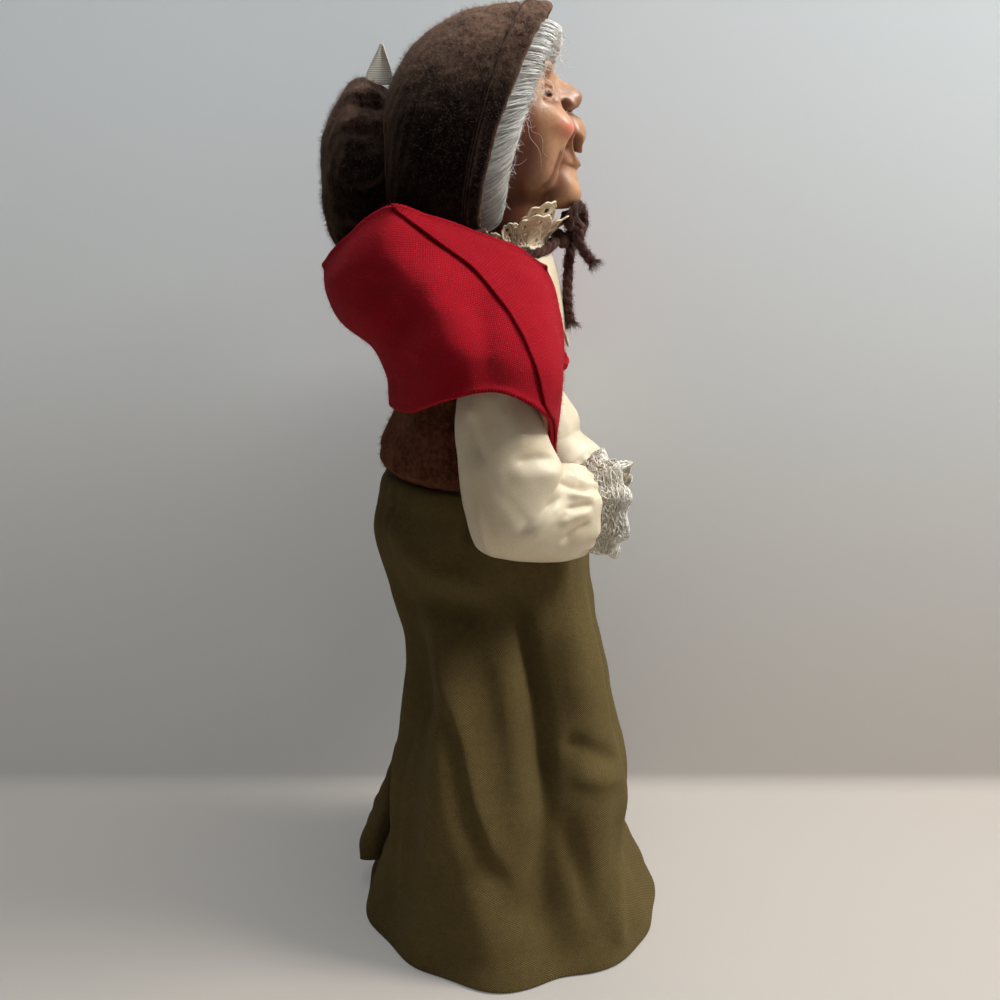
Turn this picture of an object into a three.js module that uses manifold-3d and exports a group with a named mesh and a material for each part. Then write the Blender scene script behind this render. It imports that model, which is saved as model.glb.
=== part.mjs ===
import * as THREE from 'three';
import Module from 'manifold-3d';
import { mergeVertices } from 'three/addons/utils/BufferGeometryUtils.js';

// A caroler doll in a felt bonnet, a knitted shawl and a long wool skirt, in millimetres.
// It stands on its base disc at z = 0, faces -Y, and has its right side at -X.
const wasm = await Module();
wasm.setup();

// Clearance between pieces that touch.
const seatGap = 0.3;

// Base disc and the shoes that stand on it.
const baseRadius = 44;
const baseHeight = 6;
const baseChamfer = 1;
const shoeLength = 34;
const shoeWidth = 13;
const shoeHeight = 16;
const footSpread = 11;

// Wires of the armature.
const legWireRadius = 1.2;
const spineWireRadius = 1.6;
const shoulderWireRadius = 1.2;
const wireInset = 3.5;

// Body of wound paper on the wires.
const legRadius = 7.5;
const hipHeight = 146;
const waistOverHip = 25.8;
const skirtTop = hipHeight + waistOverHip;
const torsoHeight = 64.2;
const shoulderHeight = skirtTop + torsoHeight;
const coreRise = 14;
const coreTop = shoulderHeight + coreRise;
const coreHalfWidth = 27;
const coreHalfDepth = 25;
const coreShift = 6;
const neckRadius = 7.5;
const neckY = 2;
const headRise = 64;
const headHeight = shoulderHeight + headRise;
const neckTopDrop = 28;
const neckTop = headHeight - neckTopDrop;

// Clothes on the body.
const satinThickness = 1;
const feltThickness = 2.2;
const woolThickness = 2;
const knitThickness = 1.4;
const blouseTuck = 14;
const frontRise = 1;
const frontTop = coreTop + frontRise;
const frontLength = 30;
const frontPoint = frontTop - frontLength;
const frontHalfWidth = 5.6;
const frontLift = 4;
const waistRise = 4.5;
const vestTopDrop = 4;
const vestTop = shoulderHeight - vestTopDrop;
const vestPuff = 8.5;
const waistbandHeight = 9;
const waistbandThickness = 1.6;
const waistSquareness = 0.5;
const hemLift = 1.2;
const hemHalfWidth = 61;
const hemHalfDepth = 60;
const hemShift = 4.6;
const foldDepth = 6.5;

// Shawl: how far it stands out over each shoulder, its depth behind the neck and its heights.
const shoulderX = 41;
const shawlOverhang = 21;
const shawlHalfWidth = shoulderX + shawlOverhang;
const shawlBack = 61;
const shawlPeakRise = 32;
const shawlPeak = shoulderHeight + shawlPeakRise;
const shawlTipDrop = 45;
const shawlTip = shoulderHeight - shawlTipDrop;
const lapelThickness = 1.5;

// Arms.
const shoulderY = 5.2;
const elbowX = 49.5;
const rightElbowY = -3;
const leftElbowY = -18;
const leftElbowDrop = 3;
const elbowBend = 17;
const upperArmDrop = 64;
const forearmHeight = shoulderHeight - upperArmDrop;
const rightEndX = 36;
const rightEndY = -27.5;
const leftEndX = 34;
const leftEndY = -35;
const leftHandDrop = 13;
const armRadius = 6;
const elbowBallRadius = 5.2;
const cupClearance = 0.45;
const sleeveHalfWidth = 13.5;
const sleeveHalfHeight = 16.5;
const cuffLength = 8;
const cuffRadius = 17;
const handLength = 14;
const laceThickness = 0.8;
const cuffRuffle = 1.4;

// Head.
const headY = 4;
const skullHalfWidth = 21.5;
const skullHalfDepth = 22;
const skullHalfHeight = 26;
const faceHalfWidth = 17;
const faceHalfDepth = 15;
const faceHalfHeight = 20;
const faceReach = 12.5;
const faceDrop = 12;
const chinRadius = 8;
const chinReach = 23;
const chinDrop = 26;
const faceBlend = 3.2;
const featureHeight = 5;
const eyeRadius = 3;
const eyeSpread = 9.1;
const eyeForward = 16.4;
const eyeRise = 2;
const eyeY = headY - eyeForward;
const eyeHeight = headHeight + eyeRise;

// Hair and bonnet.
const brimRise = 30;
const brimTop = headHeight + brimRise;
const brimFront = 14.5;
const brimHalfWidth = 30;
const brimMiddleDrop = 10;
const brimMiddle = headHeight - brimMiddleDrop;
const brimTilt = 22;
const brimCurve = 1.6;
const crownBack = 36;
const hairForward = 9;
const hairBack = 12;
const pouchLength = 23;
const pouchHalfWidth = 23;
const pouchHalfHeight = 29;
const pouchDrop = 20;
const pouchMiddle = headHeight - pouchDrop;
const gatherDepth = 0.8;
const brimStep = 1;
const hairHalfThickness = 3.2;
const ribbonWidth = 9;
const ribbonThickness = 0.8;
const ribbonRise = 18.5;
const ribbonTop = headHeight + ribbonRise;
const ribbonHeight = 12;
const ribbonY = 38.4;

// Bonnet tie of twisted yarn.
const yarnRadius = 1.7;
const knotRadius = 3.2;
const knotY = -20.5;
const knotDrop = 42.5;
const knotHeight = headHeight - knotDrop;

// Lace at the neck, whose foot rests on the top of the blouse's front.
const collarRadius = 21.5;
const collarHeight = 15.3;
const collarBottom = frontTop + seatGap;
const collarTop = collarBottom + collarHeight;
const collarOpening = 17;
const collarRuffle = 1.6;

// Skirt tail.
const tailTop = 62;
const tailLength = 50;
const tailWidth = 18;
const tailThickness = 7;
const tailX = 6;
const tailBack = 58;
const tailReach = 17;

// Colours and surfaces of the materials, from the photograph.
const finishes = {
  wood: { color: 0x8a6a45, roughness: 0.7, metalness: 0 },
  leather: { color: 0x1c1714, roughness: 0.5, metalness: 0 },
  wire: { color: 0x8d8f92, roughness: 0.4, metalness: 1 },
  paper: { color: 0xb9a88a, roughness: 0.9, metalness: 0 },
  olive: { color: 0x5e5333, roughness: 0.95, metalness: 0 },
  brown: { color: 0x3b2620, roughness: 0.95, metalness: 0 },
  vest: { color: 0x4f2a20, roughness: 0.95, metalness: 0 },
  red: { color: 0xb41c30, roughness: 0.9, metalness: 0 },
  satin: { color: 0xe4d9bc, roughness: 0.4, metalness: 0 },
  lace: { color: 0xece3d2, roughness: 0.85, metalness: 0 },
  skin: { color: 0xb98562, roughness: 0.35, metalness: 0 },
  eye: { color: 0x2a2320, roughness: 0.15, metalness: 0 },
  hair: { color: 0xdcd8d0, roughness: 0.8, metalness: 0 },
  yarn: { color: 0x4a2a22, roughness: 0.95, metalness: 0 },
};

const doll = new THREE.Group();

// Adds one piece to the doll under its name.
function addPiece(name, geometry, finish) {
  const mesh = new THREE.Mesh(geometry, new THREE.MeshStandardMaterial(finishes[finish]));
  mesh.name = name;
  doll.add(mesh);
  return mesh;
}

// Turns the faces of a closed surface outward.
function faceOut(positions, triangles) {
  const a = new THREE.Vector3();
  const b = new THREE.Vector3();
  const c = new THREE.Vector3();
  let volume = 0;
  for (let t = 0; t < triangles.length; t += 3) {
    a.copy(positions[triangles[t]]);
    b.copy(positions[triangles[t + 1]]);
    c.copy(positions[triangles[t + 2]]);
    volume += a.dot(b.cross(c));
  }
  if (volume < 0) {
    triangles.reverse();
  }
  const geometry = new THREE.BufferGeometry().setFromPoints(positions);
  geometry.setIndex(triangles);
  return geometry;
}

// Two triangles for the four corners of one face.
function pushFace(triangles, a, b, c, d) {
  triangles.push(a, b, c, a, c, d);
}

// A solid body through a stack of rings, closed at both ends by a fan.
function stackRings(rings) {
  const positions = rings.flat();
  const count = rings[0].length;
  const triangles = [];
  for (let r = 0; r + 1 < rings.length; r += 1) {
    for (let k = 0; k < count; k += 1) {
      const next = (k + 1) % count;
      const low = r * count;
      const high = low + count;
      pushFace(triangles, low + k, low + next, high + next, high + k);
    }
  }
  const ends = [0, rings.length - 1];
  ends.forEach((r, end) => {
    const centre = new THREE.Vector3();
    rings[r].forEach((point) => centre.add(point));
    positions.push(centre.divideScalar(count));
    const hub = positions.length - 1;
    for (let k = 0; k < count; k += 1) {
      const next = (k + 1) % count;
      const first = r * count + k;
      const second = r * count + next;
      triangles.push(hub, ...(end === 0 ? [second, first] : [first, second]));
    }
  });
  return faceOut(positions, triangles);
}

// A cloth of one thickness. surface(u, v) gives its outer face for u and v from 0 to 1, and
// where it is closed round u the last column joins the first.
function clothSolid(surface, columns, rows, thickness, closed) {
  const width = closed ? columns : columns + 1;
  const grid = [];
  for (let j = 0; j <= rows; j += 1) {
    for (let i = 0; i < width; i += 1) {
      grid.push(surface(i / columns, j / rows));
    }
  }
  const at = (i, j) => {
    const column = closed ? (i + width) % width : THREE.MathUtils.clamp(i, 0, width - 1);
    return grid[THREE.MathUtils.clamp(j, 0, rows) * width + column];
  };
  const inner = [];
  for (let j = 0; j <= rows; j += 1) {
    for (let i = 0; i < width; i += 1) {
      const along = at(i + 1, j).clone().sub(at(i - 1, j));
      const down = at(i, j + 1).clone().sub(at(i, j - 1));
      const normal = along.cross(down).normalize();
      const depth = typeof thickness === 'number' ? thickness : thickness(i / columns, j / rows);
      inner.push(at(i, j).clone().addScaledVector(normal, depth));
    }
  }
  const positions = grid.concat(inner);
  const back = grid.length;
  const triangles = [];
  const faces = closed ? width : width - 1;
  for (let i = 0; i < faces; i += 1) {
    const next = (i + 1) % width;
    for (let j = 0; j < rows; j += 1) {
      const low = j * width;
      const high = low + width;
      pushFace(triangles, low + i, low + next, high + next, high + i);
      pushFace(triangles, back + low + i, back + high + i, back + high + next, back + low + next);
    }
    const last = rows * width;
    pushFace(triangles, i, back + i, back + next, next);
    pushFace(triangles, last + next, back + last + next, back + last + i, last + i);
  }
  for (let j = 0; j < rows && !closed; j += 1) {
    const low = j * width;
    const high = low + width;
    pushFace(triangles, low, high, back + high, back + low);
    const end = width - 1;
    pushFace(triangles, high + end, low + end, back + low + end, back + high + end);
  }
  return faceOut(positions, triangles);
}

// Values between the rows of a table of shares, whose first column runs from 0 to 1.
function tableAt(shares, position) {
  const last = shares.length - 1;
  let row = 0;
  while (row < last - 1 && position > shares[row + 1][0]) {
    row += 1;
  }
  const from = shares[row];
  const to = shares[row + 1];
  const before = shares[Math.max(row - 1, 0)];
  const after = shares[Math.min(row + 2, last)];
  const span = to[0] - from[0];
  const t = THREE.MathUtils.clamp((position - from[0]) / span, 0, 1);
  return from.slice(1).map((value, k) => {
    const end = to[k + 1];
    const slopeIn = (end - before[k + 1]) / (to[0] - before[0]);
    const slopeOut = (after[k + 1] - value) / (after[0] - from[0]);
    const square = t * t;
    const cube = square * t;
    return (2 * cube - 3 * square + 1) * value + (cube - 2 * square + t) * span * slopeIn
      + (3 * square - 2 * cube) * end + (cube - square) * span * slopeOut;
  });
}

// Boolean cuts and joins.
function toSolid(geometry) {
  const bare = new THREE.BufferGeometry();
  bare.setAttribute('position', geometry.getAttribute('position').clone());
  if (geometry.getIndex()) {
    bare.setIndex(geometry.getIndex().clone());
  }
  const merged = mergeVertices(bare);
  return new wasm.Manifold(new wasm.Mesh({
    numProp: 3,
    vertProperties: new Float32Array(merged.getAttribute('position').array),
    triVerts: new Uint32Array(merged.getIndex().array),
  }));
}

function fromSolid(solid) {
  const mesh = solid.getMesh();
  const geometry = new THREE.BufferGeometry();
  geometry.setAttribute('position', new THREE.BufferAttribute(mesh.vertProperties.slice(), 3));
  geometry.setIndex(new THREE.BufferAttribute(mesh.triVerts.slice(), 1));
  return geometry;
}

function cut(geometry, ...tools) {
  return fromSolid(tools.reduce((solid, tool) => solid.subtract(toSolid(tool)), toSolid(geometry)));
}

function join(geometry, ...others) {
  return fromSolid(others.reduce((solid, other) => solid.add(toSolid(other)), toSolid(geometry)));
}

// A straight round rod between two points.
function rod(radius, from, to, sides = 12) {
  const axis = to.clone().sub(from);
  const geometry = new THREE.CylinderGeometry(radius, radius, axis.length(), sides);
  const turn = new THREE.Quaternion().setFromUnitVectors(
    new THREE.Vector3(0, 1, 0), axis.clone().normalize());
  geometry.applyQuaternion(turn);
  const middle = from.clone().add(to).multiplyScalar(0.5);
  return geometry.translate(middle.x, middle.y, middle.z);
}

// A round tube along a smooth line through the points, cut square at both ends.
function tubeAlong(points, radius, sides, steps) {
  const outline = new THREE.Shape();
  for (let k = 0; k < sides; k += 1) {
    const angle = (2 * Math.PI * k) / sides;
    const x = radius * Math.cos(angle);
    const y = radius * Math.sin(angle);
    if (k === 0) {
      outline.moveTo(x, y);
    } else {
      outline.lineTo(x, y);
    }
  }
  outline.closePath();
  const path = new THREE.CatmullRomCurve3(points);
  return new THREE.ExtrudeGeometry(outline, { steps, extrudePath: path, curveSegments: 1 });
}

const vec = (x, y, z) => new THREE.Vector3(x, y, z);
const bump = (t) => Math.exp(-t * t);

// An upright oval ring at height z. Angle 0 is the front and a quarter turn is the right side.
function ovalPoint(angle, halfWidth, halfDepth, shift, z) {
  return vec(-halfWidth * Math.sin(angle), shift - halfDepth * Math.cos(angle), z);
}

function ovalRing(halfWidth, halfDepth, shift, z, count) {
  const ring = [];
  for (let k = 0; k < count; k += 1) {
    ring.push(ovalPoint((2 * Math.PI * k) / count, halfWidth, halfDepth, shift, z));
  }
  return ring;
}

// Wound body: shares of its height, half width, half depth and shift.
const coreShares = [
  [0, 0.89, 0.88, 1],
  [0.25, 0.89, 0.96, 1],
  [0.52, 0.96, 0.94, 1.1],
  [0.76, 1, 0.8, 0.97],
  [0.9, 0.85, 0.64, 0.65],
  [1, 0.48, 0.46, 0.4],
];

function bodyOval(z, offset) {
  const share = THREE.MathUtils.clamp((z - hipHeight) / (coreTop - hipHeight), 0, 1);
  const [wide, deep, shift] = tableAt(coreShares, share);
  return {
    halfWidth: coreHalfWidth * wide + offset,
    halfDepth: coreHalfDepth * deep + offset,
    shift: coreShift * shift,
  };
}

// The waist lies higher at the back than at the front.
function waistRiseAt(angle) {
  return waistRise * (0.5 - 0.5 * Math.cos(angle));
}

// A band of cloth round the body between two heights. puff(angle, share) pushes it outward and
// lift(angle) raises its lower edge.
function bodyBand(bottom, top, offset, thickness, columns, rows, puff = () => 0, lift = () => 0) {
  return clothSolid((u, v) => {
    const angle = 2 * Math.PI * u;
    const low = bottom + lift(angle);
    const z = low + (top - low) * v;
    const oval = bodyOval(z, offset + puff(angle, v));
    return ovalPoint(angle, oval.halfWidth, oval.halfDepth, oval.shift, z);
  }, columns, rows, thickness, true);
}

// Limbs and shoes have this many sides.
const limbSides = 10;

// Bores that the wires run in.
const spineBore = rod(spineWireRadius + seatGap, vec(0, neckY, hipHeight + wireInset),
  vec(0, neckY, headHeight + seatGap));
const shoulderEnd = shoulderX + armRadius - seatGap;
const shoulderBore = rod(shoulderWireRadius + seatGap,
  vec(-shoulderEnd - seatGap, shoulderY, shoulderHeight),
  vec(shoulderEnd + seatGap, shoulderY, shoulderHeight));
const legBore = (side) => rod(legWireRadius + seatGap,
  vec(side * footSpread, 0, baseHeight - wireInset - seatGap),
  vec(side * footSpread, 0, hipHeight + shoeHeight + seatGap));

// Base disc, a turned profile with its top edge broken.
function baseDisc() {
  const profile = [
    new THREE.Vector2(0, 0),
    new THREE.Vector2(baseRadius, 0),
    new THREE.Vector2(baseRadius, baseHeight - baseChamfer),
    new THREE.Vector2(baseRadius - baseChamfer, baseHeight),
    new THREE.Vector2(0, baseHeight),
  ];
  const disc = new THREE.LatheGeometry(profile, 28).rotateX(Math.PI / 2);
  return cut(disc, legBore(1), legBore(-1));
}

// Shoe: sections from heel to toe, with shares of its length, width and height. Its heel lies
// behind the leg, and its sole is flat.
const heelShare = 0.35;
const soleShare = 0.7;
const instepShare = 0.85;
const shoeShares = [
  [0, 0.55, 0.86],
  [0.1, 0.85, 0.94],
  [0.4, 0.9, 0.94],
  [0.6, 0.95, 0.66],
  [0.85, 0.9, 0.48],
  [1, 0.45, 0.3],
];

function shoe(side) {
  const heel = shoeLength * heelShare;
  const sections = 7;
  const rings = [];
  for (let j = 0; j <= sections; j += 1) {
    const share = j / sections;
    const [wide, high] = tableAt(shoeShares, share);
    const ring = [];
    for (let k = 0; k < limbSides; k += 1) {
      const angle = (2 * Math.PI * k) / limbSides;
      const x = 0.5 * shoeWidth * wide * Math.cos(angle);
      const rise = Math.max(Math.sin(angle), -soleShare) + soleShare;
      const z = baseHeight + seatGap + 0.5 * shoeHeight * high * rise / instepShare;
      ring.push(vec(side * footSpread + x, heel - shoeLength * share, z));
    }
    rings.push(ring);
  }
  return cut(stackRings(rings), legBore(side));
}

// Leg of wound padding that swells at the calf: shares of its length and radius.
const legShares = [[0, 0.8], [0.35, 1], [0.6, 0.94], [1, 0.88]];
function leg(side) {
  const bottom = baseHeight + seatGap + shoeHeight + seatGap;
  const top = hipHeight - seatGap;
  const sections = 6;
  const rings = [];
  for (let j = 0; j <= sections; j += 1) {
    const share = j / sections;
    const radius = legRadius * tableAt(legShares, share)[0];
    const ring = ovalRing(radius, radius, 0, bottom + (top - bottom) * share, limbSides);
    rings.push(ring.map((point) => point.setX(point.x + side * footSpread)));
  }
  return cut(stackRings(rings), legBore(side));
}

function torsoCore() {
  const sections = 7;
  const rings = [];
  for (let j = 0; j <= sections; j += 1) {
    const z = hipHeight + (coreTop - hipHeight) * (j / sections);
    const oval = bodyOval(z, 0);
    rings.push(ovalRing(oval.halfWidth, oval.halfDepth, oval.shift, z, 20));
  }
  return cut(stackRings(rings), spineBore, shoulderBore, legBore(1), legBore(-1));
}

addPiece('base_disc', baseDisc(), 'wood');
for (const [side, label] of [[-1, 'right'], [1, 'left']]) {
  addPiece(`shoe_${label}`, shoe(side), 'leather');
  addPiece(`leg_${label}`, leg(side), 'paper');
  addPiece(`leg_wire_${label}`, rod(legWireRadius, vec(side * footSpread, 0, baseHeight - wireInset),
    vec(side * footSpread, 0, hipHeight + shoeHeight)), 'wire');
}
addPiece('body_core', torsoCore(), 'paper');
addPiece('spine_wire', rod(spineWireRadius, vec(0, neckY, hipHeight + wireInset + seatGap),
  vec(0, neckY, headHeight)), 'wire');
addPiece('shoulder_wire', rod(shoulderWireRadius, vec(-shoulderEnd, shoulderY, shoulderHeight),
  vec(shoulderEnd, shoulderY, shoulderHeight)), 'wire');

// Blouse body, tucked into the skirt.
const blouseOffset = 2 * seatGap + satinThickness;
const blouse = bodyBand(skirtTop - blouseTuck, coreTop, blouseOffset, satinThickness, 20, 7);
addPiece('blouse_body', cut(blouse, shoulderBore), 'satin');

// Vest that puffs out over the waist, most at the back.
const vestPuffShares = [[0, 0.45], [0.07, 0.85], [0.17, 1], [0.3, 0.62], [0.5, 0.15], [1, 0]];
const frontPuffShare = 0.45;
const sidePuffShare = 0.45;
const vestOffset = blouseOffset + 2 * seatGap + feltThickness;
const vestBottom = skirtTop + 2 * seatGap;
function vestPuffAt(angle, share) {
  const backShare = 0.5 - 0.5 * Math.cos(angle);
  const sideShare = Math.sin(angle) ** 2;
  const round = frontPuffShare + (1 - frontPuffShare) * backShare - sidePuffShare * sideShare;
  return vestPuff * tableAt(vestPuffShares, share)[0] * round;
}
const vest = bodyBand(vestBottom, vestTop, vestOffset, feltThickness, 26, 7,
  vestPuffAt, waistRiseAt);
addPiece('vest', cut(vest, shoulderBore), 'vest');

// Waistband under the gathered top of the skirt.
const bandOffset = blouseOffset + seatGap + waistbandThickness;
addPiece('skirt_waistband', bodyBand(skirtTop - waistbandHeight, skirtTop, bandOffset,
  waistbandThickness, 20, 2), 'olive');

// Skirt: shares of its height, with shares of the half width, half depth and shift at the hem.
const skirtShares = [
  [0, 1, 1, 1],
  [0.05, 0.93, 0.93, 0.9],
  [0.18, 0.85, 0.775, 0.65],
  [0.34, 0.79, 0.76, 1],
  [0.49, 0.72, 0.66, 0.85],
  [0.64, 0.66, 0.6, 0.6],
  [0.76, 0.61, 0.635, -0.5],
  [0.87, 0.575, 0.66, -1.4],
  [0.95, 0.53, 0.62, -1.5],
];
// Folds: angle at the hem and at the waist in degrees, width in degrees, depth share, and the
// shares of the height between which the fold is deepest.
const foldShares = [
  [2, 4, 13, 0.55, 0.2, 0.7],
  [28, 30, 10, 0.7, 0.25, 0.8],
  [48, 44, 14, 1, 0.15, 0.75],
  [97, 140, 15, 1.2, 0.2, 0.7],
  [128, 118, 12, 0.9, 0.1, 0.5],
  [160, 165, 13, 1, 0.3, 0.9],
  [195, 200, 13, 0.8, 0.2, 0.8],
  [232, 228, 14, 1, 0.15, 0.75],
  [268, 262, 13, 0.9, 0.2, 0.8],
  [305, 300, 14, 1, 0.15, 0.75],
  [334, 334, 12, 0.8, 0.2, 0.8],
  [72, 78, 9, -1.1, 0.2, 0.85],
];

// Above the first share the folds sink into the gathers, and above the second the top turns in.
const gatherShare = 0.75;
const bodyShare = 0.95;

// How far the folds push the skirt out at an angle and a share of its height.
function foldAt(angle, share) {
  const degrees = THREE.MathUtils.radToDeg(angle);
  return foldShares.reduce((sum, [atHem, atWaist, width, depth, low, high]) => {
    const middle = atHem + (atWaist - atHem) * share;
    let away = Math.abs(degrees - middle) % 360;
    away = Math.min(away, 360 - away);
    const rise = THREE.MathUtils.smoothstep(share, -low, low);
    const fall = 1 - THREE.MathUtils.smoothstep(share, high - low, 1);
    return sum + depth * rise * fall * bump(away / width);
  }, 0) * foldDepth - foldDepth * 0.5 * (1 - THREE.MathUtils.smoothstep(share, gatherShare, bodyShare));
}

const waistOval = bodyOval(skirtTop, bandOffset + 2 * seatGap + woolThickness);
function skirtSurface(u, v) {
  const angle = 2 * Math.PI * u;
  if (v > bodyShare) {
    const low = skirtSurface(u, bodyShare);
    const turn = 0.5 * Math.PI * (v - bodyShare) / (1 - bodyShare);
    const top = skirtTop + waistRiseAt(angle);
    const high = ovalPoint(angle, waistOval.halfWidth, waistOval.halfDepth, waistOval.shift, top);
    const level = high.clone().lerp(low, Math.cos(turn) ** waistSquareness);
    return level.setZ(low.z + (high.z - low.z) * Math.sin(turn));
  }
  const [wide, deep, shift] = tableAt(skirtShares, v);
  const fold = foldAt(angle, v);
  return ovalPoint(angle, hemHalfWidth * wide + fold, hemHalfDepth * deep + fold,
    -hemShift * shift,
    hemLift + (skirtTop + waistRiseAt(angle) - hemLift) * v);
}
const skirtRowShares = [0, 0.05, 0.15, 0.3, 0.45, 0.6, 0.74, 0.86, 0.95, 0.98, 1];
const skirtColumns = 46;
const skirtRows = skirtRowShares.length - 1;
addPiece('skirt', clothSolid((u, v) => skirtSurface(u, skirtRowShares[Math.round(v * skirtRows)]),
  skirtColumns, skirtRows, woolThickness, true), 'olive');

// Skirt tail: the folded end of the back seam. It leaves the skirt's back and is cut off below.
const tailShares = [[0, 1, 1], [0.15, 1, 0.96], [0.45, 0.85, 0.62], [0.75, 0.6, 0.26], [1, 0.35, 0.02]];
function skirtSpace(offset) {
  const rings = skirtRowShares.slice(0, -3).map((row) => {
    const ring = [];
    for (let k = 0; k < skirtColumns; k += 1) {
      const point = skirtSurface(k / skirtColumns, row);
      const out = vec(point.x, point.y + hemShift, 0).setLength(offset);
      ring.push(point.add(out));
    }
    return ring;
  });
  return stackRings(rings);
}
function skirtTail() {
  const sections = 7;
  const sides = 12;
  const rings = [];
  for (let j = 0; j <= sections; j += 1) {
    const [wide, out] = tableAt(tailShares, j / sections);
    const z = tailTop - tailLength * (1 - j / sections);
    const back = tailBack - tailReach * (1 - out);
    const ring = [];
    for (let k = 0; k < sides; k += 1) {
      const angle = (2 * Math.PI * k) / sides;
      const deep = tailThickness * wide * (1 + Math.sin(angle));
      ring.push(vec(tailX + 0.5 * tailWidth * wide * Math.cos(angle), back - deep, z));
    }
    rings.push(ring);
  }
  return cut(stackRings(rings), skirtSpace(seatGap));
}
addPiece('skirt_tail', skirtTail(), 'olive');

// Shawl: stations from the front edge to the middle of the back, each with five places from the
// neck edge down to the hem. A place holds shares of the half width, the back depth and the height.
const shawlShares = [
  [[0.25, -0.25, 0.79], [0.15, -0.34, 0.63], [0.12, -0.375, 0.455], [0.27, -0.38, 0.23], [0.6, -0.34, 0]],
  [[0.36, -0.15, 0.83], [0.34, -0.27, 0.71], [0.39, -0.345, 0.52], [0.52, -0.36, 0.29], [0.74, -0.32, 0.12]],
  [[0.435, -0.05, 0.88], [0.56, -0.1, 0.79], [0.74, -0.2, 0.61], [0.92, -0.25, 0.4], [1, -0.21, 0.25]],
  [[0.5, 0.15, 0.92], [0.61, 0.13, 0.845], [0.81, 0.1, 0.67], [0.97, 0.05, 0.49], [1.02, 0.02, 0.33]],
  [[0.55, 0.36, 0.96], [0.68, 0.38, 0.87], [0.84, 0.36, 0.69], [0.94, 0.31, 0.48], [0.94, 0.28, 0.28]],
  [[0.565, 0.575, 1], [0.69, 0.62, 0.87], [0.76, 0.61, 0.65], [0.74, 0.51, 0.41], [0.69, 0.465, 0.195]],
  [[0.37, 0.82, 0.87], [0.45, 0.855, 0.74], [0.47, 0.79, 0.57], [0.435, 0.645, 0.365], [0.39, 0.6, 0.17]],
  [[0, 1, 0.74], [0, 0.985, 0.61], [0, 0.9, 0.48], [0, 0.67, 0.325], [0, 0.64, 0.155]],
];
// The lapel's folded edge: the station that it passes at each share from neck to hem.
const lapelEdgeShares = [[0, 5], [0.15, 4], [0.3, 3.1], [0.5, 2.6], [0.72, 2.15], [1, 1.75]];
const lapelSoftness = 0.25;
// On the left side the front corner is drawn in and up: how far the hem goes at each station, in
// shares of the half width, the back depth and the height.
const leftHemShares = [[0, -0.38, -0.1, 0.27], [1, -0.14, -0.13, 0.16], [2, 0, -0.07, 0.05], [3, 0, 0, 0],
  [8, 0, 0, 0]];

function shawlStation(station, along) {
  const place = [0, 1, 2].map((k) => {
    const column = shawlShares[station].map((shares, row) => [row / 4, shares[k]]);
    return tableAt(column, along)[0];
  });
  return place;
}

function shawlSurface(u, v) {
  const stations = shawlShares.length - 1;
  const position = 2 * stations * u;
  const side = position <= stations ? -1 : 1;
  const folded = position <= stations ? position : 2 * stations - position;
  const rows = shawlShares.map((shares, station) => [station, ...shawlStation(station, 1 - v)]);
  rows.push([stations + 1, -rows[stations - 1][1], rows[stations - 1][2], rows[stations - 1][3]]);
  const [wide, deep, high] = tableAt(rows, folded);
  const [inward, forward, upward] = tableAt(leftHemShares, folded).map((share) => (
    side > 0 ? share * (1 - v) ** 4 : 0));
  return vec(side * shawlHalfWidth * (wide + inward), shawlBack * (deep + forward),
    shawlTip + (shawlPeak - shawlTip) * (high + upward));
}

function shawlDepth(u, v) {
  const stations = shawlShares.length - 1;
  const position = 2 * stations * u;
  const folded = position <= stations ? position : 2 * stations - position;
  const edge = tableAt(lapelEdgeShares, 1 - v)[0];
  const raised = 1 - THREE.MathUtils.smoothstep(folded, edge - lapelSoftness, edge + lapelSoftness);
  return knitThickness + lapelThickness * raised;
}
addPiece('shawl', clothSolid(shawlSurface, 36, 9, shawlDepth, false), 'red');

// Blouse front: the satin edge that runs down the chest and ends in a point. At the neck it lies on
// the blouse, and below on the vest, and its point stands off.
const frontEndShare = 0.15;
function blouseFront() {
  return clothSolid((u, v) => {
    const z = frontTop - (frontTop - frontPoint) * (1 - v);
    const widen = THREE.MathUtils.smoothstep(v, 0, 2 * frontEndShare);
    const layer = THREE.MathUtils.lerp(vestOffset, blouseOffset, THREE.MathUtils.smoothstep(v, 0.5, 1));
    const oval = bodyOval(z, layer + seatGap + satinThickness + frontLift * (1 - v));
    const x = frontHalfWidth * (frontEndShare + (1 - frontEndShare) * widen) * (1 - 2 * u);
    const bow = Math.sqrt(1 - (x / oval.halfWidth) ** 2);
    return vec(x, oval.shift - oval.halfDepth * bow, z);
  }, 6, 10, satinThickness, false);
}

// Arms: each middle line runs from the shoulder to the elbow's corner, which it rounds, and on to
// the sleeve's end. Its shoulder, corner and end are places on the doll's own left or right side.
const arms = {
  right: { side: -1, elbow: vec(-elbowX, rightElbowY, forearmHeight),
    end: vec(-rightEndX, rightEndY, forearmHeight) },
  left: { side: 1, elbow: vec(elbowX, leftElbowY, forearmHeight - leftElbowDrop),
    end: vec(leftEndX, leftEndY, forearmHeight - leftHandDrop) },
};
const elbowShare = 0.6;
function armPath({ side, elbow, end }) {
  const shoulder = vec(side * shoulderX, shoulderY, shoulderHeight);
  const toShoulder = shoulder.clone().sub(elbow).normalize();
  const toEnd = end.clone().sub(elbow).normalize();
  const above = elbow.clone().addScaledVector(toShoulder, elbowBend);
  const beyond = elbow.clone().addScaledVector(toEnd, elbowBend);
  const round = elbow.clone().lerp(above.clone().lerp(beyond, 0.5), 0.5);
  const upperMiddle = shoulder.clone().lerp(above, 0.5);
  return new THREE.CatmullRomCurve3([shoulder, upperMiddle, above, round, beyond, end]);
}

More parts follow.
